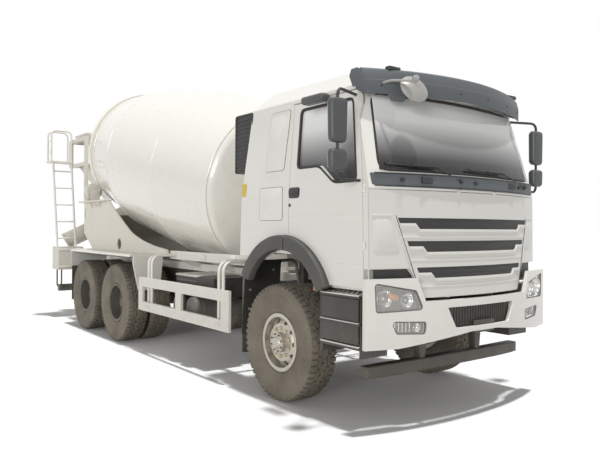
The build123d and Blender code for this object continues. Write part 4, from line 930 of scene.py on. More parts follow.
class Surroundings:
    """The camera, the floor and the light, none of them part of the truck."""

    place: Point = (4.9436, -4.6479, 1.6663)
    yaw, pitch, roll = 0.9208, 0.0033, 0.0057
    lens: dict[str, float] = {
        "sensor_width": 36.0, "lens": 37.64, "shift_x": 0.00085, "shift_y": 0.00098, "clip_end": 400.0
    }

    def build(self) -> None:
        """Make the camera, then the floor, the world and the lamps."""
        bpy.context.scene.view_settings.view_transform = "Standard"
        self.camera()
        self.floor()
        self.world()
        self.lamps()

    def camera(self) -> None:
        """Place the camera where the photograph was taken from."""
        yaw, pitch, roll = self.yaw, self.pitch, self.roll
        ahead = Vector((-sin(yaw) * cos(pitch), cos(yaw) * cos(pitch), sin(pitch)))
        right = Vector((cos(yaw), sin(yaw), 0.0))
        over = right.cross(ahead)
        x_axis = right * cos(roll) + over * sin(roll)
        y_axis = over * cos(roll) - right * sin(roll)
        lens = bpy.data.cameras.new("camera")
        for label, value in self.lens.items():
            setattr(lens, label, value)
        stand = bpy.data.objects.new("camera", lens)
        bpy.context.scene.collection.objects.link(stand)
        turn = Matrix((x_axis, y_axis, -ahead)).transposed().to_4x4()
        stand.matrix_world = Matrix.Translation((self.place[0] + AXLE_X, *self.place[1:])) @ turn
        bpy.context.scene.camera = stand

    def floor(self) -> None:
        """Lay a wide pale floor that stays white where no shadow falls."""
        bpy.ops.object.select_all(action="DESELECT")
        just_below = (0, 0, -0.001)
        bpy.ops.mesh.primitive_circle_add(vertices=96, radius=120.0, fill_type="NGON", location=just_below)
        ground = bpy.context.active_object
        ground.name = "floor"
        made = bpy.data.materials.new("pale_floor")
        made.use_nodes = True
        made.node_tree.nodes.clear()
        graph = Graph(made.node_tree)
        plain = graph.add("BsdfDiffuse", {"Color": (0.62, 0.61, 0.59, 1.0)})
        lift = graph.add("BsdfDiffuse", {"Color": (1.0, 1.0, 1.0, 1.0)})
        glow = graph.add("Emission", {"Strength": 0.03})
        total = graph.add("AddShader", {0: lift[0], 1: glow[0]})
        seen = graph.on_rays("Is Camera Ray", "Is Glossy Ray")
        choice = graph.add("MixShader", {0: seen, 1: plain[0], 2: total[0]})
        graph.add("OutputMaterial", {"Surface": choice[0]})
        ground.data.materials.append(made)

    def world(self) -> None:
        """Fill the room with plain light and show white behind the truck."""
        room = bpy.data.worlds.new("studio")
        bpy.context.scene.world = room
        room.use_nodes = True
        room.node_tree.nodes.clear()
        graph = Graph(room.node_tree)
        light = graph.add("Background", {"Color": (1.0, 0.99, 0.975, 1.0), "Strength": 0.27})
        white = graph.add("Background", {"Color": (1.0, 1.0, 1.0, 1.0), "Strength": 1.0})
        seen = graph.on_rays("Is Camera Ray", "Is Glossy Ray", "Is Transmission Ray")
        choice = graph.add("MixShader", {0: seen, 1: light[0], 2: white[0]})
        graph.add("OutputWorld", {"Surface": choice[0]})

    def lamps(self) -> None:
        """Hang a wide lamp overhead and a softer one on the truck's right."""
        for name, strength, spread, aim in (
            ("overhead", 2.4, 3.0, Vector((-0.16, -0.035, -1.0))),
            ("right_front", 1.95, 30.0, Vector((-0.60, 1.0, -0.06)))
        ):
            lamp = bpy.data.lights.new(name, "SUN")
            lamp.energy = strength
            lamp.angle = radians(spread)
            stand = bpy.data.objects.new(name, lamp)
            bpy.context.scene.collection.objects.link(stand)
            stand.rotation_mode = "QUATERNION"
            stand.rotation_quaternion = aim.to_track_quat("-Z", "Y")


@dataclass
class CabFront(Bench):
    """What the front of the cab carries: lid trim, windscreen seal, wipers, cowl trim and visor."""

    slots: tuple[Point, ...] = ((1.757, 0.9, 0.69), (1.565, 0.815, 0.62), (1.345, 0.725, 0.54))
    slot_shallow: float = 0.044
    slot_deep: float = 0.092
    slot_slant: float = 0.4
    lip: float = 0.03
    blade_stand: float = 0.016
    arm_stand: float = 0.036
    mirror_aim: Point = (0.82, -0.18, 0.42)
    mirror_middle: Point = (1.415, -0.80, 2.845)

    def build(self) -> None:
        """Model the pieces of the cab's front in order."""
        self.lid_lips()
        self.lid_seams()
        self.seal()
        self.wipers()
        self.cowl_trim()
        self.visor()
        self.visor_lamps()
        self.front_mirror()

    def lid_lips(self) -> None:
        """Model the raised lip that follows each grille slot's stepped lower edge."""
        lips = []
        for top, half, deep_half in self.slots:
            shallow, deep = top - self.slot_shallow, top - self.slot_deep
            end = half - self.slot_slant * self.slot_shallow
            path = [(-end, shallow), (-deep_half - 0.04, shallow), (-deep_half, deep)]
            path += [(-y, z) for y, z in reversed(path)]
            low = [(y * 0.995, z - self.lip) for y, z in reversed(path)]
            lips.append(self.face_plate([(y, z - SINK) for y, z in path + low], 0.014, 0.006))
            ledge = [(-end + 0.02, deep - 0.062), (end - 0.02, deep - 0.062)]
            ledge += [(end - 0.028, deep - 0.078), (-end + 0.028, deep - 0.078)]
            lips.append(self.face_plate(ledge, 0.008, 0.003))
        made = self.bend(self.join(lips), front_x, -SINK)
        self.keep(made, "lid_lips", "front_lid", LID_PAINT, "cab_paint")

    def lid_seams(self) -> None:
        """Model the dark gaps between the lid's middle and its two side panels, and its side ridges."""
        seams, panels = [], []
        for sign in (-1, 1):
            gap = mirrored(((0.918, 1.775), (0.688, 1.105)), sign)
            ridge = mirrored(((0.935, 1.775), (0.925, 1.775), (0.788, 1.38), (0.798, 1.38)), sign)
            step = mirrored(((0.955, 1.782), (1.125, 1.782), (1.125, 1.768), (0.95, 1.768)), sign)
            panel = mirrored(((0.965, 1.745), (1.115, 1.745), (1.115, 1.47), (0.872, 1.47)), sign)
            seams.append(self.tube(on_front(gap, front_x, 0.0, closed=False), 0.0035))
            for outline, thick in ((ridge, 0.012), (step, 0.010), (round_outline(panel, 0.05), 0.009)):
                panels.append(self.face_plate(outline, thick, 0.004))
        self.keep(seams, "lid_seams", "front_lid", SOFT_RUBBER, "black_plastic")
        made = self.bend(self.join(panels), front_x, -SINK)
        self.keep(made, "lid_side_panels", "front_lid", LID_PAINT, "cab_paint")

    def seal(self) -> None:
        """Model the black rubber round the windscreen."""
        corners = [(-0.960, 2.810), (-1.030, 2.150), (1.030, 2.150), (0.960, 2.810)]
        route = on_front(round_outline(corners, 0.09), front_x, -SINK)
        loop = self.tube(route, 0.013, closed=True)
        self.keep(loop, "windscreen_seal", "cab", SOFT_RUBBER, "black_plastic")

    def wipers(self) -> None:
        """Model the two wipers at rest along the foot of the glass."""
        parts = []
        for tip, heel, elbow, pivot in (
            ((-0.979, 2.202), (-0.486, 2.188), (-0.50, 2.195), (-0.24, 2.075)),
            ((-0.083, 2.195), (0.44, 2.183), (0.42, 2.19), (0.86, 2.075))
        ):
            parts.append(self.tube(on_front([tip, heel], front_x, self.blade_stand, closed=False), 0.010))
            middle = ((tip[0] + heel[0]) / 2, (tip[1] + heel[1]) / 2)
            route = on_front([middle, elbow, pivot], front_x, self.arm_stand, closed=False)
            parts.append(self.tube(route, 0.0075))
            foot, half = Vector((front_x(*pivot) + 0.03, *pivot)), Vector((0.02, 0, 0.01))
            parts.append(self.tube([foot - half, foot + half], 0.02))
        self.keep(parts, "wipers", "cab", BLACK_PLASTIC, "black_plastic")

    def cowl_trim(self) -> None:
        """Model the cowl's rounded top edge, its steps and its washer nozzles."""
        parts = [
            self.tube(on_front([(-1.10, z), (1.10, z)], cowl_x, 0.0, closed=False), radius)
            for z, radius in ((2.119, 0.007), (2.018, 0.006))
        ]
        for places, half, out, low, high, bevel in (
            ((-0.62, 0.55), 0.06, 0.016, 2.045, 2.10, 0.008),
            ((-0.86, -0.05, 0.72), 0.016, 0.018, 2.055, 2.085, 0.006)
        ):
            for y in places:
                x = cowl_x(y)
                parts.append(self.slab((x - 0.01, y - half, low), (x + out, y + half, high), bevel))
        self.keep(parts, "cowl_trim", "cab", BLACK_PLASTIC, "grey_plastic")

    def visor(self) -> None:
        """Model the visor by spinning its section about the middle of its bow."""
        half, sag, nose = VISOR_BOW
        bow = (half**2 + sag**2) / (2 * sag)
        centre, half_turn = Vector((nose - bow, 0.0, 0.0)), asin(half / bow)
        section = (
            (0.012, 2.792), (0.002, 2.790), (0.0, 2.795), (0.002, 2.905), (0.012, 2.912), (0.018, 2.965),
            (0.032, 2.998), (0.062, 3.016), (0.150, 3.020), (0.152, 3.010), (0.066, 3.004), (0.042, 2.990),
            (0.030, 2.960), (0.022, 2.905)
        )
        turn = Matrix.Rotation(half_turn, 3, "Z")
        points = [tuple(centre + turn @ (Vector((nose - back, 0.0, z)) - centre)) for back, z in section]
        self.trace(points, closed=True)
        bpy.ops.mesh.spin(steps=36, angle=2 * half_turn, center=centre, axis=(0, 0, 1))
        parts = [self.smooth(self.leave())]
        cheek = (
            (1.135, 2.80), (1.135, 2.905), (1.11, 2.99), (1.05, 3.018), (0.98, 3.016), (0.955, 2.96),
            (1.00, 2.86), (1.06, 2.83)
        )
        for sign in (-1, 1):
            outline = [(x, sign * 1.098, z) for x, z in cheek]
            parts.append(self.plate(outline, (0, -sign * 0.014, 0), 0.006))
        tab = [(-0.90, 2.80), (-0.865, 2.735), (-0.75, 2.735), (-0.715, 2.80)]
        tab_plate = self.settle(self.face_plate(round_outline(tab, 0.02), 0.012, 0.004))
        for vertex in tab_plate.data.vertices:
            vertex.co.x += visor_x(vertex.co.y) - 0.014
        parts.append(self.smooth(tab_plate))
        for y in (-0.7, 0.0, 0.7):
            low, high = (front_x(y, 2.9) - 0.02, y - 0.015, 2.885), (visor_x(y) - 0.01, y + 0.015, 2.915)
            parts.append(self.slab(low, high, 0.005))
        self.keep(parts, "visor", "cab", GREY_PLASTIC, "grey_plastic", ("sun_visor",))

    def visor_lamps(self) -> None:
        """Model the visor's screws and the two low lamp seats on top of it."""
        screws = [(visor_x(y) - 0.001, y, 2.86) for y in (-0.95, -0.55, -0.15, 0.25, 0.65, 1.0)]
        parts = [self.nuts(screws, (1, 0, 0), 0.009, 0.005)]
        for y in (-0.80, 0.98):
            x = visor_x(y) - 0.075
            parts.append(self.slab((x - 0.03, y - 0.07, 3.0), (x + 0.03, y + 0.07, 3.04), 0.012))
        self.keep(parts, "visor_lamps", "cab", BLACK_PLASTIC, "black_plastic")

    def front_mirror(self) -> None:
        """Model the round mirror that hangs ahead of the visor on a ball arm."""
        disc = [
            (0.0, 0.042), (0.035, 0.040), (0.07, 0.030), (0.105, 0.016), (0.128, 0.003), (0.131, -0.004),
            (0.127, -0.009), (0.0, -0.004)
        ]
        knob = [(0.0, -0.03), (0.02, -0.026), (0.03, -0.01), (0.03, 0.01), (0.02, 0.026), (0.0, 0.03)]
        aim, middle = Vector(self.mirror_aim).normalized(), Vector(self.mirror_middle)
        turn = Vector((0, 1, 0)).rotation_difference(aim).to_matrix().to_4x4()
        placed = self.spun(disc, Matrix.Translation(middle) @ turn, 48)
        self.keep(placed, "front_mirror", "cab", DISC_BACK, "grey_plastic")
        root = Vector((visor_x(-0.93) - 0.01, -0.93, 2.885))
        ball = middle + aim * 0.055
        arm = self.tube([root, root + Vector((0.07, 0.02, 0.01)), ball], 0.011, bend=0.03)
        seat = self.spun(knob, Matrix.Translation(ball - aim * 0.012) @ turn, 20)
        self.keep([arm, seat], "front_mirror_arm", "cab", DISC_BACK, "grey_plastic")


@dataclass
class SideBench(Bench):
    """The modelling steps of what stands once on each side of the truck."""

    side: Side

    def out(self, y: float) -> float:
        """Return a distance from the middle as a place on this side."""
        return self.side.value * y

    def store(
        self, made: Piece | list[Piece], name: str, body: str, finish: Finish, slot: str,
        stands_for: tuple[str, ...] = ()
    ) -> None:
        """Keep a piece, with this side's letter after its name and after the door's."""
        body = f"door_{self.side.tag}" if body == "door" else body
        self.keep(made, f"{name}_{self.side.tag}", body, finish, slot, stands_for)

    def beam(self, x: Flat, y: Flat, z: Flat, bevel: float) -> Piece:
        """Model a rounded block on this side between two places on each axis."""
        return self.side_slab(self.side.value, x, y, z, bevel)


@dataclass
class CabSide(SideBench):
    """One side of the cab: blanks, hatches, gutter, door furniture, mirrors and the arch flare."""

    handle: Flat = (0.26, 1.995)
    skin_y: float = 1.148
    arm_y: float = 1.39
    kerb_y: float = 1.265
    flare_middle: Flat = (0.1, 0.85)
    flare_steps: int = 18
    flare_section: tuple[Flat, ...] = (
        (0.611, 1.140), (0.611, 1.202), (0.616, 1.212), (0.628, 1.217), (0.733, 1.217), (0.745, 1.212),
        (0.751, 1.198), (0.752, 1.140)
    )

    def build(self) -> None:
        """Model this side's pieces in order."""
        self.blanks()
        self.gutter()
        self.window_seal()
        self.handle_and_lock()
        self.mirrors()
        self.flare()

    def side_plate(self, points: list[Flat], y: float, thick: float, bevel: float) -> Piece:
        """Return a plate on the cab's side from (x, z) points, standing out from y."""
        return self.plate([(x, self.out(y), z) for x, z in points], (0, self.out(thick), 0), bevel)

    def blanks(self) -> None:
        """Model the blank quarter panel behind the door and the hatch below, leaning with the side."""
        quarter = round_outline([(-0.20, 2.80), (0.12, 2.80), (0.07, 2.22), (-0.25, 2.22)], 0.035)
        hatch = round_outline([(-0.32, 2.06), (0.07, 2.06), (0.07, 1.74), (-0.32, 1.74)], 0.03)
        latch = [(-0.14, 1.90), (-0.10, 1.90), (-0.10, 1.88), (-0.14, 1.88)]
        made = self.settle(self.join([
            self.side_plate(quarter, self.skin_y, 0.007, 0.003),
            self.side_plate(hatch, self.skin_y, 0.006, 0.003),
            self.side_plate(latch, 1.152, 0.006, 0.002)
        ]))
        for vertex in made.data.vertices:
            vertex.co.y += self.out(side_y(vertex.co.z) - CAB_HALF)
        self.store(self.smooth(made), "side_blanks", "cab", CAB_PAINT, "cab_paint")
        seams = []
        for outline in (quarter, hatch):
            route = [(x, self.out(side_y(z) + 0.0005), z) for x, z in outline]
            seams.append(self.tube(route, 0.0032, closed=True, sides=1))
        self.store(seams, "side_seams", "cab", SOFT_RUBBER, "black_plastic")

    def gutter(self) -> None:
        """Model the rain gutter that runs round the side of the roof."""
        route = ((-0.55, 1.078, 2.868), (0.60, 1.083, 2.872), (1.005, 1.078, 2.868))
        rail = self.tube([(x, self.out(y), z) for x, y, z in route], 0.016, bend=0.1)
        line = self.tube([(x, self.out(1.118), 2.846) for x in (0.17, 1.06)], 0.006)
        self.store([rail, line], "roof_gutter", "cab", CAB_PAINT, "cab_paint")

    def window_seal(self) -> None:
        """Model the black rubber and slim frame round the door's window."""
        outline = [(0.28, 2.22), (0.60, 2.22), (0.82, 2.06), (1.11, 2.06), (1.00, 2.77), (0.28, 2.77)]
        route = [(x, self.out(side_y(z) - 0.008), z) for x, z in round_outline(outline, 0.05)]
        self.store(self.tube(route, 0.014, closed=True), "window_seal", "door", SOFT_RUBBER, "black_plastic")

    def handle_and_lock(self) -> None:
        """Model the door's dark handle in its dish with the lock below it, and the door's creases."""
        x, z = self.handle
        dish = [(x - 0.085, z + 0.05), (x + 0.085, z + 0.05), (x + 0.075, z - 0.05), (x - 0.085, z - 0.05)]
        grip = self.out(1.158)
        parts = [
            self.side_plate(round_outline(dish, 0.03), 1.149, 0.005, 0.002),
            self.slab((x - 0.075, grip - 0.008, z - 0.012), (x + 0.07, grip + 0.008, z + 0.03), 0.007),
            self.nuts([(x - 0.07, self.out(1.149), 1.88)], (0, self.side.value, 0), 0.016, 0.008)
        ]
        self.store(parts, "door_handle", "door", BLACK_PLASTIC, "black_plastic")
        creases = []
        for middle, back, front in ((1.77, 0.185, 1.195), (1.36, 0.86, 1.20)):
            top, foot = middle + 0.009, middle - 0.009
            strip = [(back, top), (front, top), (front, foot), (back, foot)]
            creases.append(self.side_plate(strip, 1.147, 0.0065, 0.003))
        self.store(creases, "door_creases", "door", CAB_PAINT, "cab_paint")

    def mirrors(self) -> None:
        """Model the looped arm, the two rear-view mirrors and the kerb mirror."""
        y, kerb = self.out(self.arm_y), self.out(self.kerb_y)
        root, foot = (1.03, self.out(1.078), 2.79), (1.15, self.out(self.skin_y), 2.06)
        arm = [root, (1.15, y, 2.79), (1.15, y, 2.06), foot]
        tubes = [self.tube(arm, 0.013, bend=0.07)]
        tubes.append(self.tube([(0.70, self.out(1.085), 2.78), (0.70, self.out(1.27), 2.79)], 0.012))
        for z in (2.60, 2.42, 2.21):
            tubes.append(self.slab((1.135, y - 0.022, z - 0.02), (1.172, y + 0.022, z + 0.02), 0.006))
        covers = (f"mirrors_{self.side.tag}",)
        self.store(tubes, "mirror_arms", "door", BLACK_PLASTIC, "black_plastic", covers)
        shells = []
        for z0, z1 in ((2.35, 2.71), (2.12, 2.30)):
            outline = round_outline([(-0.09, z1), (0.09, z1), (0.082, z0), (-0.082, z0)], 0.045)
            shell = self.face_plate([(y + w, z) for w, z in outline], 0.076, x=1.112)
            shells.append(self.soften(shell, 0.03, 4))
        shells.append(self.slab((0.56, kerb - 0.055, 2.745), (0.86, kerb + 0.055, 2.815), 0.028, 4))
        self.store(shells, "mirror_shells", "door", HOUSING_GREY, "grey_plastic")
        faces = []
        for z0, z1 in ((2.368, 2.692), (2.138, 2.282)):
            outline = round_outline([(-0.074, z1), (0.074, z1), (0.067, z0), (-0.067, z0)], 0.03)
            faces.append(self.face_plate([(y + w, z) for w, z in outline], -0.002, x=1.1125))
        self.store(faces, "mirror_faces", "door", MIRROR_FACE, "clear_glass")

    def flare(self) -> None:
        """Model the rounded rubber flare, one piece on the cab and one on the door."""
        covers = ("cab_flares",) if self.side is Side.RIGHT else ()
        for name, body, start, end, replaced in (
            ("flare_cab", "cab", 152.0, 84.2, covers), ("flare_door", "door", 83.2, 24.5, ())
        ):
            steps = self.flare_steps
            turns = [radians(start + (end - start) * n / steps) for n in range(steps + 1)]
            rings = [[self.on_arch(radius, y, turn) for radius, y in self.flare_section] for turn in turns]
            self.store(self.skin(rings), name, body, FLARE_GREY, "grey_plastic", replaced)

    def on_arch(self, radius: float, y: float, turn: float) -> Point:
        """Return a place round the middle of the wheel arch."""
        x, z = self.flare_middle
        return (x + radius * cos(turn), self.out(y), z + radius * sin(turn))


@dataclass
class Bumper(Bench):
    """The lamps in the bumper's windows, the inlet's screen, the blank plate and the under-run bar.

    The sizes that end in _in tell how deep a piece starts behind the face that it lies in.
    """

    head: tuple[Flat, ...] = ((1.172, 1.234), (0.79, 1.165), (0.715, 1.002), (1.16, 0.992))
    fog: tuple[Flat, ...] = ((1.03, 0.923), (0.69, 0.906), (0.70, 0.80), (0.98, 0.816))
    turn_lamp: tuple[Flat, ...] = ((1.03, 1.148), (0.94, 1.135), (0.93, 1.082), (1.02, 1.092))
    head_pots: tuple[Point, ...] = ((1.06, 1.105, 0.072), (0.86, 1.083, 0.062))
    fog_pots: tuple[Point, ...] = ((0.765, 0.855, 0.036),)
    pot_depth: float = 0.045
    tray_in: float = 0.075
    bowl_in: float = 0.030
    slat_in: float = 0.040
    amber_in: float = 0.042
    cover_in: float = 0.014
    frame_in: float = 0.012
    screen_in: float = 0.055
    rib_in: float = 0.044
    rim_in: float = 0.0105
    crease_in: float = 0.0065
    # How deep the black sheets of painted gap shade sit behind the cab's curved front
    shade_sheet_in: float = 0.040
    bar_cuts: int = 24
    bar_half: float = 1.05
    bar_height: float = 0.465

    def build(self) -> None:
        """Model the bumper's pieces in order."""
        self.lamp_units()
        self.inlet()
        self.corner_gap_shade()
        self.plate_bracket()
        self.underrun()

    def shrink(self, corners: list[Flat], gap: float) -> list[Flat]:
        """Return an outline drawn in towards its middle by a gap."""
        middle = sum((Vector(c) for c in corners), Vector((0, 0))) / len(corners)
        reaches = [Vector(corner) - middle for corner in corners]
        return [tuple(middle + reach * (1 - gap * 1.6 / reach.length)) for reach in reaches]

    def reflector(self, y: float, z: float, radius: float) -> Piece:
        """Return a bowl with a bulb in it, facing forward."""
        depth = self.pot_depth
        bowl = [
            (radius, 0.0), (radius * 0.94, -depth * 0.25), (radius * 0.72, -depth * 0.62),
            (radius * 0.4, -depth * 0.88), (0.0, -depth)
        ]
        bulb = [
            (0.0, -depth * 0.35), (radius * 0.14, -depth * 0.42), (radius * 0.16, -depth),
            (0.0, -depth * 1.01)
        ]
        lip = [(radius, 0.0), (radius * 1.05, 0.004), (radius * 1.08, -0.004), (radius * 1.02, -0.02)]
        made = self.settle(self.join([self.turn_y(part, 28) for part in (bowl, bulb, lip)]))
        made.data.transform(Matrix.Rotation(radians(-90), 4, "Z"))
        made.data.transform(Matrix.Translation((bumper_x(y) - self.bowl_in, y, z)))
        return made

    def lamp_units(self) -> None:
        """Model each lamp: its dark tray, its bowls, its amber part, its frame and its clear cover."""
        trays, bowls, ambers, frames, covers = [], [], [], [], []
        for sign in (-1, 1):
            for corners, pots in ((self.head, self.head_pots), (self.fog, self.fog_pots)):
                outline = round_outline(self.shrink(mirrored(corners, sign), 0.004), 0.03)
                trays.append(self.bend(self.face_plate(outline, 0.010), bumper_x, -self.tray_in))
                covers.append(self.bend(self.face_plate(outline, 0.004), bumper_x, -self.cover_in, 0.03))
                frames.append(self.tube(on_front(outline, bumper_x, -self.frame_in), 0.009, closed=True))
                bowls += [self.reflector(sign * y, z, radius) for y, z, radius in pots]
            amber = round_outline(mirrored(self.turn_lamp, sign), 0.02)
            ambers.append(self.bend(self.face_plate(amber, 0.012, 0.004), bumper_x, -self.amber_in))
            for n in range(5):
                y = sign * (0.83 + 0.034 * n)
                slat = self.slab((-0.004, y - 0.005, 0.822), (0.004, y + 0.005, 0.908), 0.002)
                bowls.append(self.bend(slat, bumper_x, -self.slat_in))
        self.keep(bowls, "lamp_bowls", "chassis", LAMP_CHROME, "lamp", ("head_lamps",))
        self.keep(trays, "lamp_trays", "chassis", TANK_METAL, "lamp")
        self.keep(ambers, "lamp_ambers", "chassis", LAMP_AMBER, "lamp")
        self.keep(frames, "lamp_frames", "chassis", TANK_METAL, "grey_plastic")
        self.keep(covers, "lamp_covers", "chassis", self.palette.lens(), "clear_glass")

    def inlet(self) -> None:
        """Model the fluted screen inside the bumper's air inlet and the inlet's rounded rim."""
        screen = [(0.47, 1.01), (0.37, 0.825), (-0.37, 0.825), (-0.47, 1.01)]
        parts = [self.bend(self.face_plate(screen, 0.008), bumper_x, -self.screen_in)]
        for n in range(-10, 11):
            y = n * 0.035
            rib = self.slab((-0.005, y - 0.004, 0.83), (0.005, y + 0.004, 1.005), 0.002)
            parts.append(self.bend(rib, bumper_x, -self.rib_in))
        self.keep(parts, "inlet_screen", "chassis", BLACK_PLASTIC, "black_plastic")
        rim = round_outline([(0.475, 1.014), (0.373, 0.821), (-0.373, 0.821), (-0.475, 1.014)], 0.03)
        crease = [(-1.02, 0.965), (-0.60, 0.955), (-0.52, 1.035), (0.52, 1.035), (0.60, 0.955), (1.02, 0.965)]
        line = self.tube(on_front(crease, bumper_x, -self.crease_in, closed=False), 0.006)
        edge = self.tube(on_front(rim, bumper_x, -self.rim_in), 0.010, closed=True)
        self.keep([edge, line], "inlet_rim", "chassis", CAB_PAINT, "cab_paint")

    def corner_gap_shade(self) -> None:
        """Model black sheets that paint the shade seen in the gaps between the bumper and the lid's corners.
        """
        corners = ((1.09, 1.345), (0.70, 1.345), (0.66, 1.17), (1.09, 1.21))
        flat = [self.face_plate(mirrored(corners, sign), 0.006) for sign in (-1, 1)]
        shade_sheets = [self.bend(one, front_x, -self.shade_sheet_in) for one in flat]
        # Painted shade: black sheets where the gaps between bumper and lid look dark
        self.keep(shade_sheets, "gap_shade_sheets", "chassis", BLACK_PLASTIC, "black_plastic")

    def plate_bracket(self) -> None:
        """Model the blank dark plate that hangs from the inlet's lower edge, with its stays."""
        outline = round_outline([(-0.15, 0.875), (0.15, 0.875), (0.135, 0.765), (-0.135, 0.765)], 0.02)
        plate = self.face_plate(outline, 0.012, 0.004, x=1.520)
        stay = self.tube([(1.512, -0.06, 0.83), (1.47, -0.06, 0.80), (1.44, -0.06, 0.79)], 0.010, bend=0.02)
        other = self.copy(self.settle(stay), Matrix.Scale(-1, 4, (0, 1, 0)))
        bolts = self.nuts([(1.529, -0.09, 0.80), (1.529, 0.09, 0.80)], (1, 0, 0), 0.009, 0.006)
        self.keep([plate, stay, other, bolts], "plate_bracket", "chassis", UNDERRUN_PAINT, "dark_iron")

    def underrun(self) -> None:
        """Model the curved under-run bar with its rolled ends and its two tapered arms."""
        half, height = self.bar_half, self.bar_height
        bar = self.slab((1.08, -half, 0.41), (1.18, half, 0.52), 0.012)
        bpy.ops.object.mode_set(mode="EDIT")
        for n in range(1, self.bar_cuts):
            bpy.ops.mesh.select_all(action="SELECT")
            bpy.ops.mesh.bisect(plane_co=(0, -half + 2 * half * n / self.bar_cuts, 0), plane_no=(0, 1, 0))
        self.leave()
        for vertex in self.settle(bar).data.vertices:
            out = abs(vertex.co.y) / half
            vertex.co.x -= 0.03 * out**4
            vertex.co.z = height + (vertex.co.z - height) * (1.0 - 0.10 * out**10)
        parts = [self.smooth(bar)]
        for y in (-0.39, 0.39):
            arm = [(y - 0.06, 0.76), (y + 0.06, 0.76), (y + 0.032, 0.515), (y - 0.032, 0.515)]
            parts.append(self.face_plate(arm, 0.075, 0.008, x=1.09))
            heads = [(1.165, y + shift, 0.70) for shift in (-0.02, 0.02)]
            parts.append(self.nuts(heads, (1, 0, 0), 0.013, 0.01))
        self.keep(parts, "underrun", "chassis", UNDERRUN_PAINT, "dark_iron", ("underrun_bar",))


@dataclass
class Steps(SideBench):
    """The cab steps, mudguard, marker lamp and side fittings on one side."""

    span_x: Flat = (0.69, 1.18)
    tread_y: Flat = (0.88, 1.182)
    guard_y: float = 1.248
    treads_z: tuple[Flat, ...] = ((1.108, 1.122), (0.688, 0.702))

    def build(self) -> None:
        """Model this side's steps and mudguard."""
        self.treads()
        self.mudguard()
        self.marker()
        self.guard_bolts()

    def treads(self) -> None:
        """Model the metal edges, the chequered treads and the panels of the steps."""
        parts = [self.beam(self.span_x, self.tread_y, z, 0.004) for z in self.treads_z]
        parts.append(self.beam(self.span_x, (1.150, 1.186), (0.886, 0.896), 0.003))
        middle = self.out(sum(self.tread_y) / 2)
        for _, top in self.treads_z:
            spots = [
                (0.73 + 0.06 * n, middle + 0.06 * k, top - 0.001)
                for n in range(8) for k in (-1.6, -0.5, 0.6, 1.7)
            ]
            parts.append(self.nuts(spots, (0, 0, 1), 0.012, 0.004))
        self.store(parts, "step_treads", "chassis", TREAD_METAL, "tank_metal")
        panels = [self.beam((0.70, 1.17), (1.166, 1.172), z, 0.002) for z in ((0.90, 1.085), (0.712, 0.872))]
        panels.append(self.beam((0.655, 0.682), (1.02, 1.158), (0.62, 1.13), 0.01))
        self.store(panels, "step_panels", "chassis", BLACK_PLASTIC, "black_plastic")

    def mudguard(self) -> None:
        """Model the rubber flap below the mudguard, and the mudguard's bolts and stay."""
        flap = self.beam((-0.658, -0.648), (0.72, 1.14), (0.36, 0.60), 0.003)
        self.store(flap, "mud_flap", "chassis", SOFT_RUBBER, "black_plastic")
        places = []
        for z in (0.66, 0.82, 1.02, 1.22):
            x = -0.580 - (1.33 - z) * 0.0845
            places += [(x + 0.011, self.out(y), z) for y in (0.80, 1.08)]
        bolts = self.nuts(places, (1, 0, 0), 0.014, 0.008)
        self.store(bolts, "mudguard_bolts", "chassis", TREAD_METAL, "tank_metal")
        stay = (
            (-0.68, 1.10, 0.40), (-0.68, 1.10, 1.16), (-0.62, 1.02, 1.30), (-0.62, 0.47, 1.32),
            (-0.62, 0.42, 1.05)
        )
        tube = self.tube([(x, self.out(y), z) for x, y, z in stay], 0.019, bend=0.08)
        self.store(tube, "mudguard_stay", "chassis", TANK_METAL, "tank_metal")

    def marker(self) -> None:
        """Model the amber marker lamp at the front foot of the wheel arch."""
        lamp = self.beam((0.59, 0.70), (1.156, 1.186), (1.115, 1.152), 0.008)
        self.store(lamp, "marker_lamp", "chassis", LAMP_AMBER, "lamp")
        seat = self.beam((0.60, 0.692), (1.02, 1.162), (1.108, 1.145), 0.006)
        self.store(seat, "marker_seat", "chassis", BLACK_PLASTIC, "black_plastic")

    def guard_bolts(self) -> None:
        """Model the bolts that hold the side guard to its tubes and the clips on the sill."""
        y = self.out(self.guard_y)
        places = [(x + s, y, z) for x in (-2.82, -0.98) for s in (-0.045, 0.045) for z in (0.62, 0.94)]
        parts = [self.nuts(places, (0, self.side.value, 0), 0.014, 0.008)]
        for x in (-2.0, -1.30, -0.98, -2.82):
            parts.append(self.beam((x - 0.05, x + 0.05), (0.858, 0.885), (1.262, 1.332), 0.008))
        self.store(parts, "guard_fittings", "chassis", FRAME_WHITE, "white_steel")


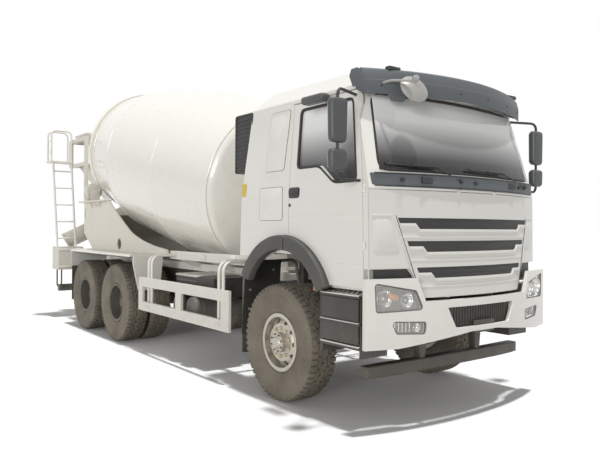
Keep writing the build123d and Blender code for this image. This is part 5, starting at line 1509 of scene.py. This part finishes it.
@dataclass
class Tail(Bench):
    """The rear: lamps, mud flaps, fender edges, the drum stand's trim and the stirrup."""

    wing_y: float = 0.9
    lamp_x: Flat = (-7.246, -7.226)
    box_back: float = -7.236
    hole: Flat = (-4.7, 1.4)
    hole_radius: float = 0.092

    def build(self) -> None:
        """Model the pieces at the tail."""
        self.lamps()
        self.fenders()
        self.stand_trim()
        self.stirrup()

    def lamps(self) -> None:
        """Model the rear lamp clusters with red and amber parts, and the boxes' ribs."""
        reds, ambers, frames = [], [], []
        for sign in (-1, 1):
            for lamps, y in ((reds, (0.84, 0.93)), (reds, (1.08, 1.16)), (ambers, (0.945, 1.065))):
                lamps.append(self.side_slab(sign, self.lamp_x, y, (1.03, 1.15), 0.008))
            back = self.box_back
            frames.append(self.side_slab(sign, (back, -7.228), (0.82, 1.18), (1.01, 1.17), 0.006))
            for z in ((0.91, 0.95), (1.225, 1.265)):
                frames.append(self.side_slab(sign, (back, -6.845), (0.775, 1.215), z, 0.008))
        self.keep(reds, "rear_lamps_red", "chassis", LAMP_RED, "lamp")
        self.keep(ambers, "rear_lamps_amber", "chassis", LAMP_AMBER, "lamp")
        self.keep(frames, "tail_box_ribs", "chassis", STAND_WHITE, "white_steel")

    def fenders(self) -> None:
        """Model the fenders' rolled edges, their dark linings and the rubber flaps."""
        edges, flaps = [], []
        front_edge = ((0.80, 0.79), (1.12, 0.79), (1.20, 1.15), (1.20, 1.245))
        for sign in (-1, 1):
            edges.append(self.tube([(x, sign * 1.236, 1.262) for x in (-6.02, -3.43)], 0.014))
            edges.append(self.tube([(-3.415, y, z) for y, z in mirrored(front_edge, sign)], 0.010, bend=0.02))
            for x, z in (((-6.045, -6.033), (0.42, 1.01)), ((-6.00, -3.45), (1.236, 1.249))):
                flaps.append(self.side_slab(sign, x, (0.63, 1.22), z, 0.003))
        self.keep(edges, "fender_edges", "chassis", FRAME_WHITE, "white_steel")
        self.keep(flaps, "rear_mud_flaps", "chassis", SOFT_RUBBER, "black_plastic")

    def stand_trim(self) -> None:
        """Model the rolled edges of the drum stand's wings, the hole's rim and the roller seats' gussets."""
        parts = []
        arc = (
            (-5.15, 2.095), (-4.90, 1.935), (-4.55, 1.745), (-4.2, 1.57), (-3.80, 1.46), (-3.35, 1.385),
            (-2.96, 1.35)
        )
        turns = [radians(a) for a in range(0, 360, 15)]
        for sign in (-1, 1):
            y = sign * self.wing_y
            parts.append(self.tube([(x, y, z) for x, z in arc], 0.016, bend=0.12))
            (x, z), radius = self.hole, self.hole_radius
            rim = [(x + radius * cos(t), y, z + radius * sin(t)) for t in turns]
            parts.append(self.tube(rim, 0.010, closed=True))
            web = mirrored(((0.905, 2.10), (1.0, 2.10), (0.905, 1.98)), sign)
            parts += [self.face_plate(web, 0.012, 0.003, x) for x in (-5.55, -5.72, -5.95)]
        self.keep(parts, "stand_trim", "chassis", STAND_WHITE, "white_steel")

    def stirrup(self) -> None:
        """Model the bent step that hangs below the right tail box."""
        route = [(x, -1.14, z) for x, z in ((-6.90, 0.885), (-6.90, 0.56), (-7.17, 0.56), (-7.17, 0.885))]
        self.keep(self.tube(route, 0.014, bend=0.06), "tail_stirrup", "chassis", BLACK_PLASTIC, "dark_iron")


@dataclass
class Drum(Bench):
    """The drum's weld seams and the bolts on its front flange, which turn with it."""

    tilt: float = 11.5
    nose: Flat = (-1.29, 2.09)
    seams: tuple[Flat, ...] = ((0.34, 1.052), (1.68, 1.1755), (3.32, 1.1755), (4.36, 1.0215), (5.44, 0.686))
    seam_height: float = 0.004
    bolt_circle: float = 0.262

    def build(self) -> None:
        """Model the seams as raised rings about the drum's axis, and the flange's bolts."""
        rings = []
        for along, radius in self.seams:
            low, top = radius - self.seam_height, radius + self.seam_height
            profile = [(low, along - 0.012), (top, along - 0.004), (top, along + 0.004), (low, along + 0.012)]
            rings.append(self.turn_y(profile, 96))
        made = self.settle(self.join(rings))
        made.data.transform(self.axis())
        self.keep(made, "drum_seams", "drum", DRUM_PAINT, "drum_paint")
        turns = [radians(a) for a in range(0, 360, 30)]
        places = [(self.bolt_circle * cos(t), -0.009, self.bolt_circle * sin(t)) for t in turns]
        bolts = self.nuts(places, (0, -1, 0), 0.016, 0.014)
        bolts.data.transform(self.axis())
        self.keep(bolts, "drum_flange_bolts", "drum", TANK_METAL, "tank_metal")

    def axis(self) -> Matrix:
        """Return the matrix that lays the Y axis along the drum's axis."""
        place = Matrix.Translation((self.nose[0], 0.0, self.nose[1]))
        return place @ Matrix.Rotation(radians(90), 4, "Z") @ Matrix.Rotation(radians(self.tilt), 4, "X")


@dataclass
class Cabin(Bench):
    """The padded seats and bunk that show through the glass, and the air intake outside."""

    seat_middles: Flat = (-0.56, 0.56)
    back_lean: float = -9.0
    back_foot: float = 1.9
    back_x: float = 0.125
    pad_edge: float = 0.05
    room_floor: float = 1.482
    pad_cuts: tuple[float, ...] = (-0.3, -0.15, 0.0, 0.15, 0.3)

    def build(self) -> None:
        """Model the seats and the bunk, and the intake's louvres outside."""
        pads = []
        turn, foot = Matrix.Rotation(radians(self.back_lean), 4, "Y"), self.back_foot
        lean = Matrix.Translation((self.back_x, 0, foot)) @ turn @ Matrix.Translation((0, 0, -foot))
        for y in self.seat_middles:
            pads.append(self.pad((0.08, y - 0.255, 1.77), (0.62, y + 0.255, 1.89), 0.02))
            back = self.pad((-0.07, y - 0.25, 1.88), (0.07, y + 0.25, 2.55), 0.02)
            pads.append(self.copy(self.settle(back), lean))
            bpy.data.objects.remove(back)
        seats = self.keep(pads, "seat_pads", "cab", SEAT_CLOTH, "seat_cloth", ("seats",))
        bed = self.pad((-0.598, -1.02, 1.78), (-0.07, 1.02, 1.90), 0.012)
        bunk = self.keep(bed, "bunk_pad", "cab", SEAT_CLOTH, "seat_cloth")
        floor = self.room_floor
        bases = [self.slab((0.15, y - 0.2, floor), (0.56, y + 0.2, 1.775), 0.02) for y in self.seat_middles]
        bases.append(self.slab((-0.60, -1.05, floor), (-0.07, 1.05, 1.785), 0.01))
        self.keep(bases, "seat_bases", "cab", BLACK_PLASTIC, "black_plastic")
        self.louvres()

    def pad(self, low: Point, high: Point, crown: float) -> Piece:
        """Model a crowned cushion with a sewn edge.

        Args:
            low: Its lowest corner.
            high: Its highest corner.
            crown: How far the middle stands above the edge.

        Returns:
            The cushion.
        """
        made = self.slab(low, high, self.pad_edge, 4)
        bpy.ops.object.mode_set(mode="EDIT")
        middle = (Vector(low) + Vector(high)) / 2
        size = Vector(high) - Vector(low)
        for axis, normal in enumerate(((1.0, 0.0, 0.0), (0.0, 1.0, 0.0), (0.0, 0.0, 1.0))):
            for share in self.pad_cuts:
                spot = middle.copy()
                spot[axis] += size[axis] * share
                bpy.ops.mesh.select_all(action="SELECT")
                bpy.ops.mesh.bisect(plane_co=spot, plane_no=normal)
        self.leave()
        thin = min(range(3), key=lambda k: size[k])
        for vertex in self.settle(made).data.vertices:
            share = 1.0
            for k in range(3):
                if k != thin:
                    share *= max(0.0, 1.0 - (abs(vertex.co[k] - middle[k]) / (size[k] / 2)) ** 2)
            vertex.co[thin] -= (1 if vertex.co[thin] > middle[thin] else -1) * crown * (1.0 - share)
        return self.smooth(made, 60.0)

    def louvres(self) -> None:
        """Model the intake's louvres, its rim and the plain yellow tag beside it."""
        parts = []
        for n in range(13):
            z = 2.29 + 0.043 * n
            parts.append(self.slab((-0.885, -1.088, z - 0.006), (-0.565, -1.068, z + 0.010), 0.004))
        rim = [(x, -1.08, z) for x, z in ((-0.892, 2.258), (-0.892, 2.862), (-0.56, 2.862), (-0.56, 2.258))]
        parts.append(self.tube(rim, 0.012, bend=0.03))
        self.keep(parts, "intake_louvres", "cab", BLACK_PLASTIC, "black_plastic")
        tag = self.slab((-0.648, -1.1535, 1.99), (-0.575, -1.148, 2.12), 0.001)
        self.keep(tag, "yellow_tag", "cab", MARKER_TAG, "grey_plastic")


@dataclass
class Underside(Bench):
    """The tanks' domed ends, the battery box's lid and the frame's bolts."""

    tank_z: float = 0.70
    frame_y: float = 0.4255

    def build(self) -> None:
        """Model the fittings between the axles."""
        dome = [(0.138, 0.0), (0.130, -0.018), (0.10, -0.032), (0.05, -0.040), (0.0, -0.042)]
        band = [(0.138, -0.016), (0.142, -0.014), (0.142, 0.014), (0.138, 0.016)]
        ends = []
        for x in (-2.15, -1.80):
            for profile, y in ((dome, -1.1195), (band, -1.02), (band, -0.68)):
                ends.append(self.spun(profile, Matrix.Translation((x, y, self.tank_z)), 36))
        self.keep(ends, "tank_ends", "chassis", TANK_METAL, "tank_metal")
        lid = self.slab((-2.32, -1.09, 1.068), (-1.75, -0.55, 1.092), 0.006)
        spots = [(-2.27 + 0.07 * n, -1.05 + 0.07 * k, 1.0915) for n in range(8) for k in range(7)]
        chequer = self.nuts(spots, (0, 0, 1), 0.016, 0.004)
        self.keep([lid, chequer], "battery_lid", "chassis", TREAD_METAL, "tank_metal")
        heights = (0.90, 0.96, 1.02)
        ribs = [self.slab((-2.30, -1.087, z - 0.010), (-1.77, -1.075, z + 0.010), 0.004) for z in heights]
        self.keep(ribs, "battery_ribs", "chassis", TANK_METAL, "tank_metal")
        rows = [
            self.nuts(
                [(x / 100, sign * self.frame_y, z) for x in range(-690, 110, 20) for z in (0.82, 1.0)],
                (0, sign, 0), 0.012, 0.008
            ) for sign in (-1, 1)
        ]
        self.keep(rows, "frame_bolts", "chassis", FRAME_STEEL, "frame_steel")


# The CAD nodes that wear each finish
FINISHED_NODES: dict[Finish, str] = {
    FRAME_STEEL: "frame_rails",
    FRAME_WHITE: "subframe side_guards rear_fenders ladder",
    STAND_WHITE: "drum_pedestal front_support hopper tail_boxes chute_stand chute roller_l roller_r",
    DARK_IRON: "front_axle springs rear_axles prop_shafts engine_block knuckle_l knuckle_r",
    TANK_METAL: "fuel_tank air_tanks reducer rear_bar chute_post",
    BLACK_PLASTIC: "battery_box front_mudguards cab_steps dash air_intake",
    GREY_PLASTIC: "cab_flares sun_visor cowl",
    CAB_PAINT: "front_bumper cab_shell door_l door_r",
    LID_PAINT: "front_lid",
    DARK_GRILLE: "grille",
    DRUM_PAINT: "drum",
    LAMP_CHROME: "head_lamps",
    UNDERRUN_PAINT: "underrun_bar",
    SEAT_CLOTH: "seats",
    HOUSING_GREY: "mirrors_l mirrors_r",
    RUBBER: "front_tyre_l front_tyre_r mid_tyres_l mid_tyres_r rear_tyres_l rear_tyres_r",
    SILVER_RIM: "front_rim_l front_rim_r",
    GREY_RIM: "mid_rims_l mid_rims_r rear_rims_l rear_rims_r"
}


def dress_nodes(frame: dict, palette: Palette) -> None:
    """Give every CAD node its finish, and the window panes their glass.

    Args:
        palette: The maker of the materials.
    """
    wear = {
        name: palette.material(finish) for finish, names in FINISHED_NODES.items() for name in names.split()
    }
    # Window panes get glass with a painted sky reflection
    wear["windscreen"] = palette.glass("windscreen_glass", 2.80, 2.14, 0.62)
    for side in Side:
        wear[f"door_glass_{side.tag}"] = palette.glass("door_glass", 2.78, 2.05, 0.55)
    for name, node in frame["nodes"].items():
        if not node.material_slots:
            node.data.materials.append(wear[name])
        for place in node.material_slots:
            place.link = "OBJECT"
            place.material = wear[name]


def main() -> None:
    """Load the frame, dress it and build each sub-assembly in order."""
    logging.basicConfig(level=logging.INFO, format="%(name)s: %(message)s")
    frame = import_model()
    palette = Palette()
    palette.build_groups()
    Surroundings().build()
    dress_nodes(frame, palette)
    assemblies = [kind(palette) for kind in (Wheels, CabFront, Bumper, Tail, Drum, Cabin, Underside)]
    assemblies += [kind(palette, side) for kind in (CabSide, Steps) for side in Side]
    for assembly in assemblies:
        LOG.info("building %s", type(assembly).__name__)
        assembly.build()


if __name__ == "__main__":
    main()
